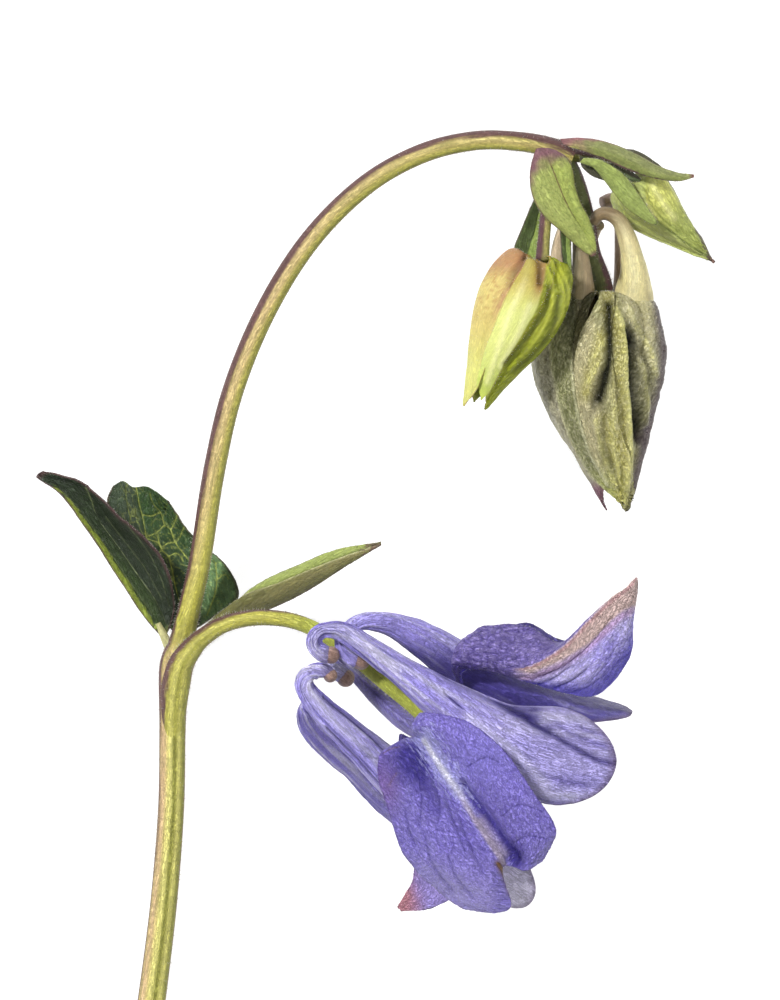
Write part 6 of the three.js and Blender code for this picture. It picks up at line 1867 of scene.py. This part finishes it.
def flower_place(along, radius, q):
    """A place by its length along the flower's axis, and its radius and turn round it, on the sheet."""
    axis = way(FLOWER_AXIS)
    side = np.cross(axis, UP)
    p = sheet(FLOWER_BASE) + (axis * along + side * radius * math.sin(q) + UP * radius * math.cos(q)) * MM
    return [p[0] / MM + SHEET_CENTRE[0], SHEET_CENTRE[1] - p[1] / MM, p[2] / MM]


def brush():
    """The stamens and the carpels inside the flower."""
    skin = Skin()
    hub = [[*flower_place(2.9, 0, 0), 2.2], [*flower_place(3.4, 0, 0), 2.2], [*flower_place(3.9, 0, 0), 2.0]]
    tube(skin, hub, (6, 24), smooth, still)
    for k in range(ANTHERS):
        q = 2 * np.pi * k * GOLDEN
        reach = 7.8 + 1.8 * math.sin(2.4 * k) + (k % 2)
        radius = 2.0 + 0.5 * (k % 2)
        stalk = [
            [*flower_place(3.4, 1.5, q), 0.14],
            [*flower_place(0.6 * reach, 0.7 * radius + 0.6, q + 0.05), 0.11],
            [*flower_place(reach, radius, q + 0.1), 0.09],
        ]
        tube(skin, stalk, (10, 8), smooth, still)
        outline = ((-0.1, 0.12), (0.4, 0.36), (1.0, 0.34), (1.5, 0.1))
        anther = [[*flower_place(reach + ahead, radius, q + 0.1), wide] for ahead, wide in outline]
        tube(skin, anther, (12, 12), lambda s, q: 0.18 * np.cos(4 * q), lambda patch, s, q: {"anther": 1.0})
    look = tissue("stamen_yellow", "e3e2c0", [("anther", "d8bf4e", 0.95)], (0.3, 0.1), (0.1, 0.02), 0.6)
    skin.piece("stamens_dressed", look, ["stamens"])

    skin = Skin()
    foot = [[*flower_place(2.9, 0, 0), 0.9], [*flower_place(3.9, 0, 0), 0.95]]
    tube(skin, foot, (4, 20), smooth, still)
    for k in range(CARPELS):
        q = 2 * np.pi * k / CARPELS + 0.3
        radii = (0.35, 0.5, 0.45, 0.25, 0.14, 0.1)
        rows = [[*flower_place(3.4 + 1.55 * n, 0.6 + 0.03 * n, q), r] for n, r in enumerate(radii)]
        tube(skin, rows, (30, 14), lambda s, q: 0.05 * np.cos(5 * q), still)
    look = tissue("carpel_green", "a9b873", [], (0.4, 0.12), (0.12, 0.02))
    skin.piece("carpels_dressed", look, ["carpels"])


# ---------------------------------------------------------------- stage


def floor():
    """The white table, which shines a little so that it stays white between soft shadows."""
    mesh = bpy.data.meshes.new("floor")
    half = FLOOR_HALF
    corners = [(-half, -half, 0), (half, -half, 0), (half, half, 0), (-half, half, 0)]
    mesh.from_pydata(corners, [], [(0, 1, 2, 3)])
    made = bpy.data.objects.new("floor", mesh)
    bpy.context.scene.collection.objects.link(made)
    look = bpy.data.materials.new("floor_white")
    look.use_nodes = True
    shader = look.node_tree.nodes["Principled BSDF"]
    shader.inputs["Base Color"].default_value = (0.3, 0.3, 0.3, 1)
    shader.inputs["Roughness"].default_value = 1.0
    shader.inputs["Specular IOR Level"].default_value = 0.0
    shader.inputs["Emission Color"].default_value = (1, 1, 1, 1)
    shader.inputs["Emission Strength"].default_value = 0.92
    mesh.materials.append(look)


def sun(name, direction, strength, angle):
    """A far light that shines along a direction; angle: its apparent size in degrees."""
    data = bpy.data.lights.new(name, "SUN")
    data.energy = strength
    data.angle = math.radians(angle)
    made = bpy.data.objects.new(name, data)
    made.rotation_euler = Vector(direction).to_track_quat("-Z", "Y").to_euler()
    bpy.context.scene.collection.objects.link(made)


def lights():
    """A white surround, dimmer for what it lights than for the camera, and two soft lamps."""
    world = bpy.data.worlds.new("studio")
    bpy.context.scene.world = world
    world.use_nodes = True
    nodes, link = world.node_tree.nodes, world.node_tree.links.new
    background = nodes["Background"]
    background.inputs["Color"].default_value = (1, 1, 1, 1)
    lighting, behind = 0.32, 0.72  # strength as a light, and what the camera sees on top of it
    seen = nodes.new("ShaderNodeLightPath").outputs["Is Camera Ray"]
    level = nodes.new("ShaderNodeMath")
    level.operation = "MULTIPLY_ADD"
    link(seen, level.inputs[0])
    level.inputs[1].default_value = behind
    level.inputs[2].default_value = lighting
    link(level.outputs[0], background.inputs["Strength"])
    sun("key", (0.5, -0.42, -0.76), 3.65, 8)
    sun("fill", (-0.62, 0.2, -0.75), 1.3, 25)


def camera():
    """A long lens that looks straight down on the sheet."""
    data = bpy.data.cameras.new("camera")
    data.sensor_width = SENSOR
    data.lens = SENSOR / (FRAME_HEIGHT / CAMERA_REACH)
    data.clip_end = 20
    made = bpy.data.objects.new("camera", data)
    made.location = Vector(sheet(FRAME_MIDDLE)) + Vector((0, 0, CAMERA_REACH))
    bpy.context.scene.collection.objects.link(made)
    bpy.context.scene.camera = made
    bpy.context.scene.view_settings.view_transform = "Standard"


# ---------------------------------------------------------------- the whole

stem()
leaf_left()
leaf_back()
leaf_right()
bracts()
bud_left()
bud_large()
bud_right()
bud_spurs()
sepal_front()
sepal_top()
other_sepals()
petals()
brush()
floor()
lights()
camera()
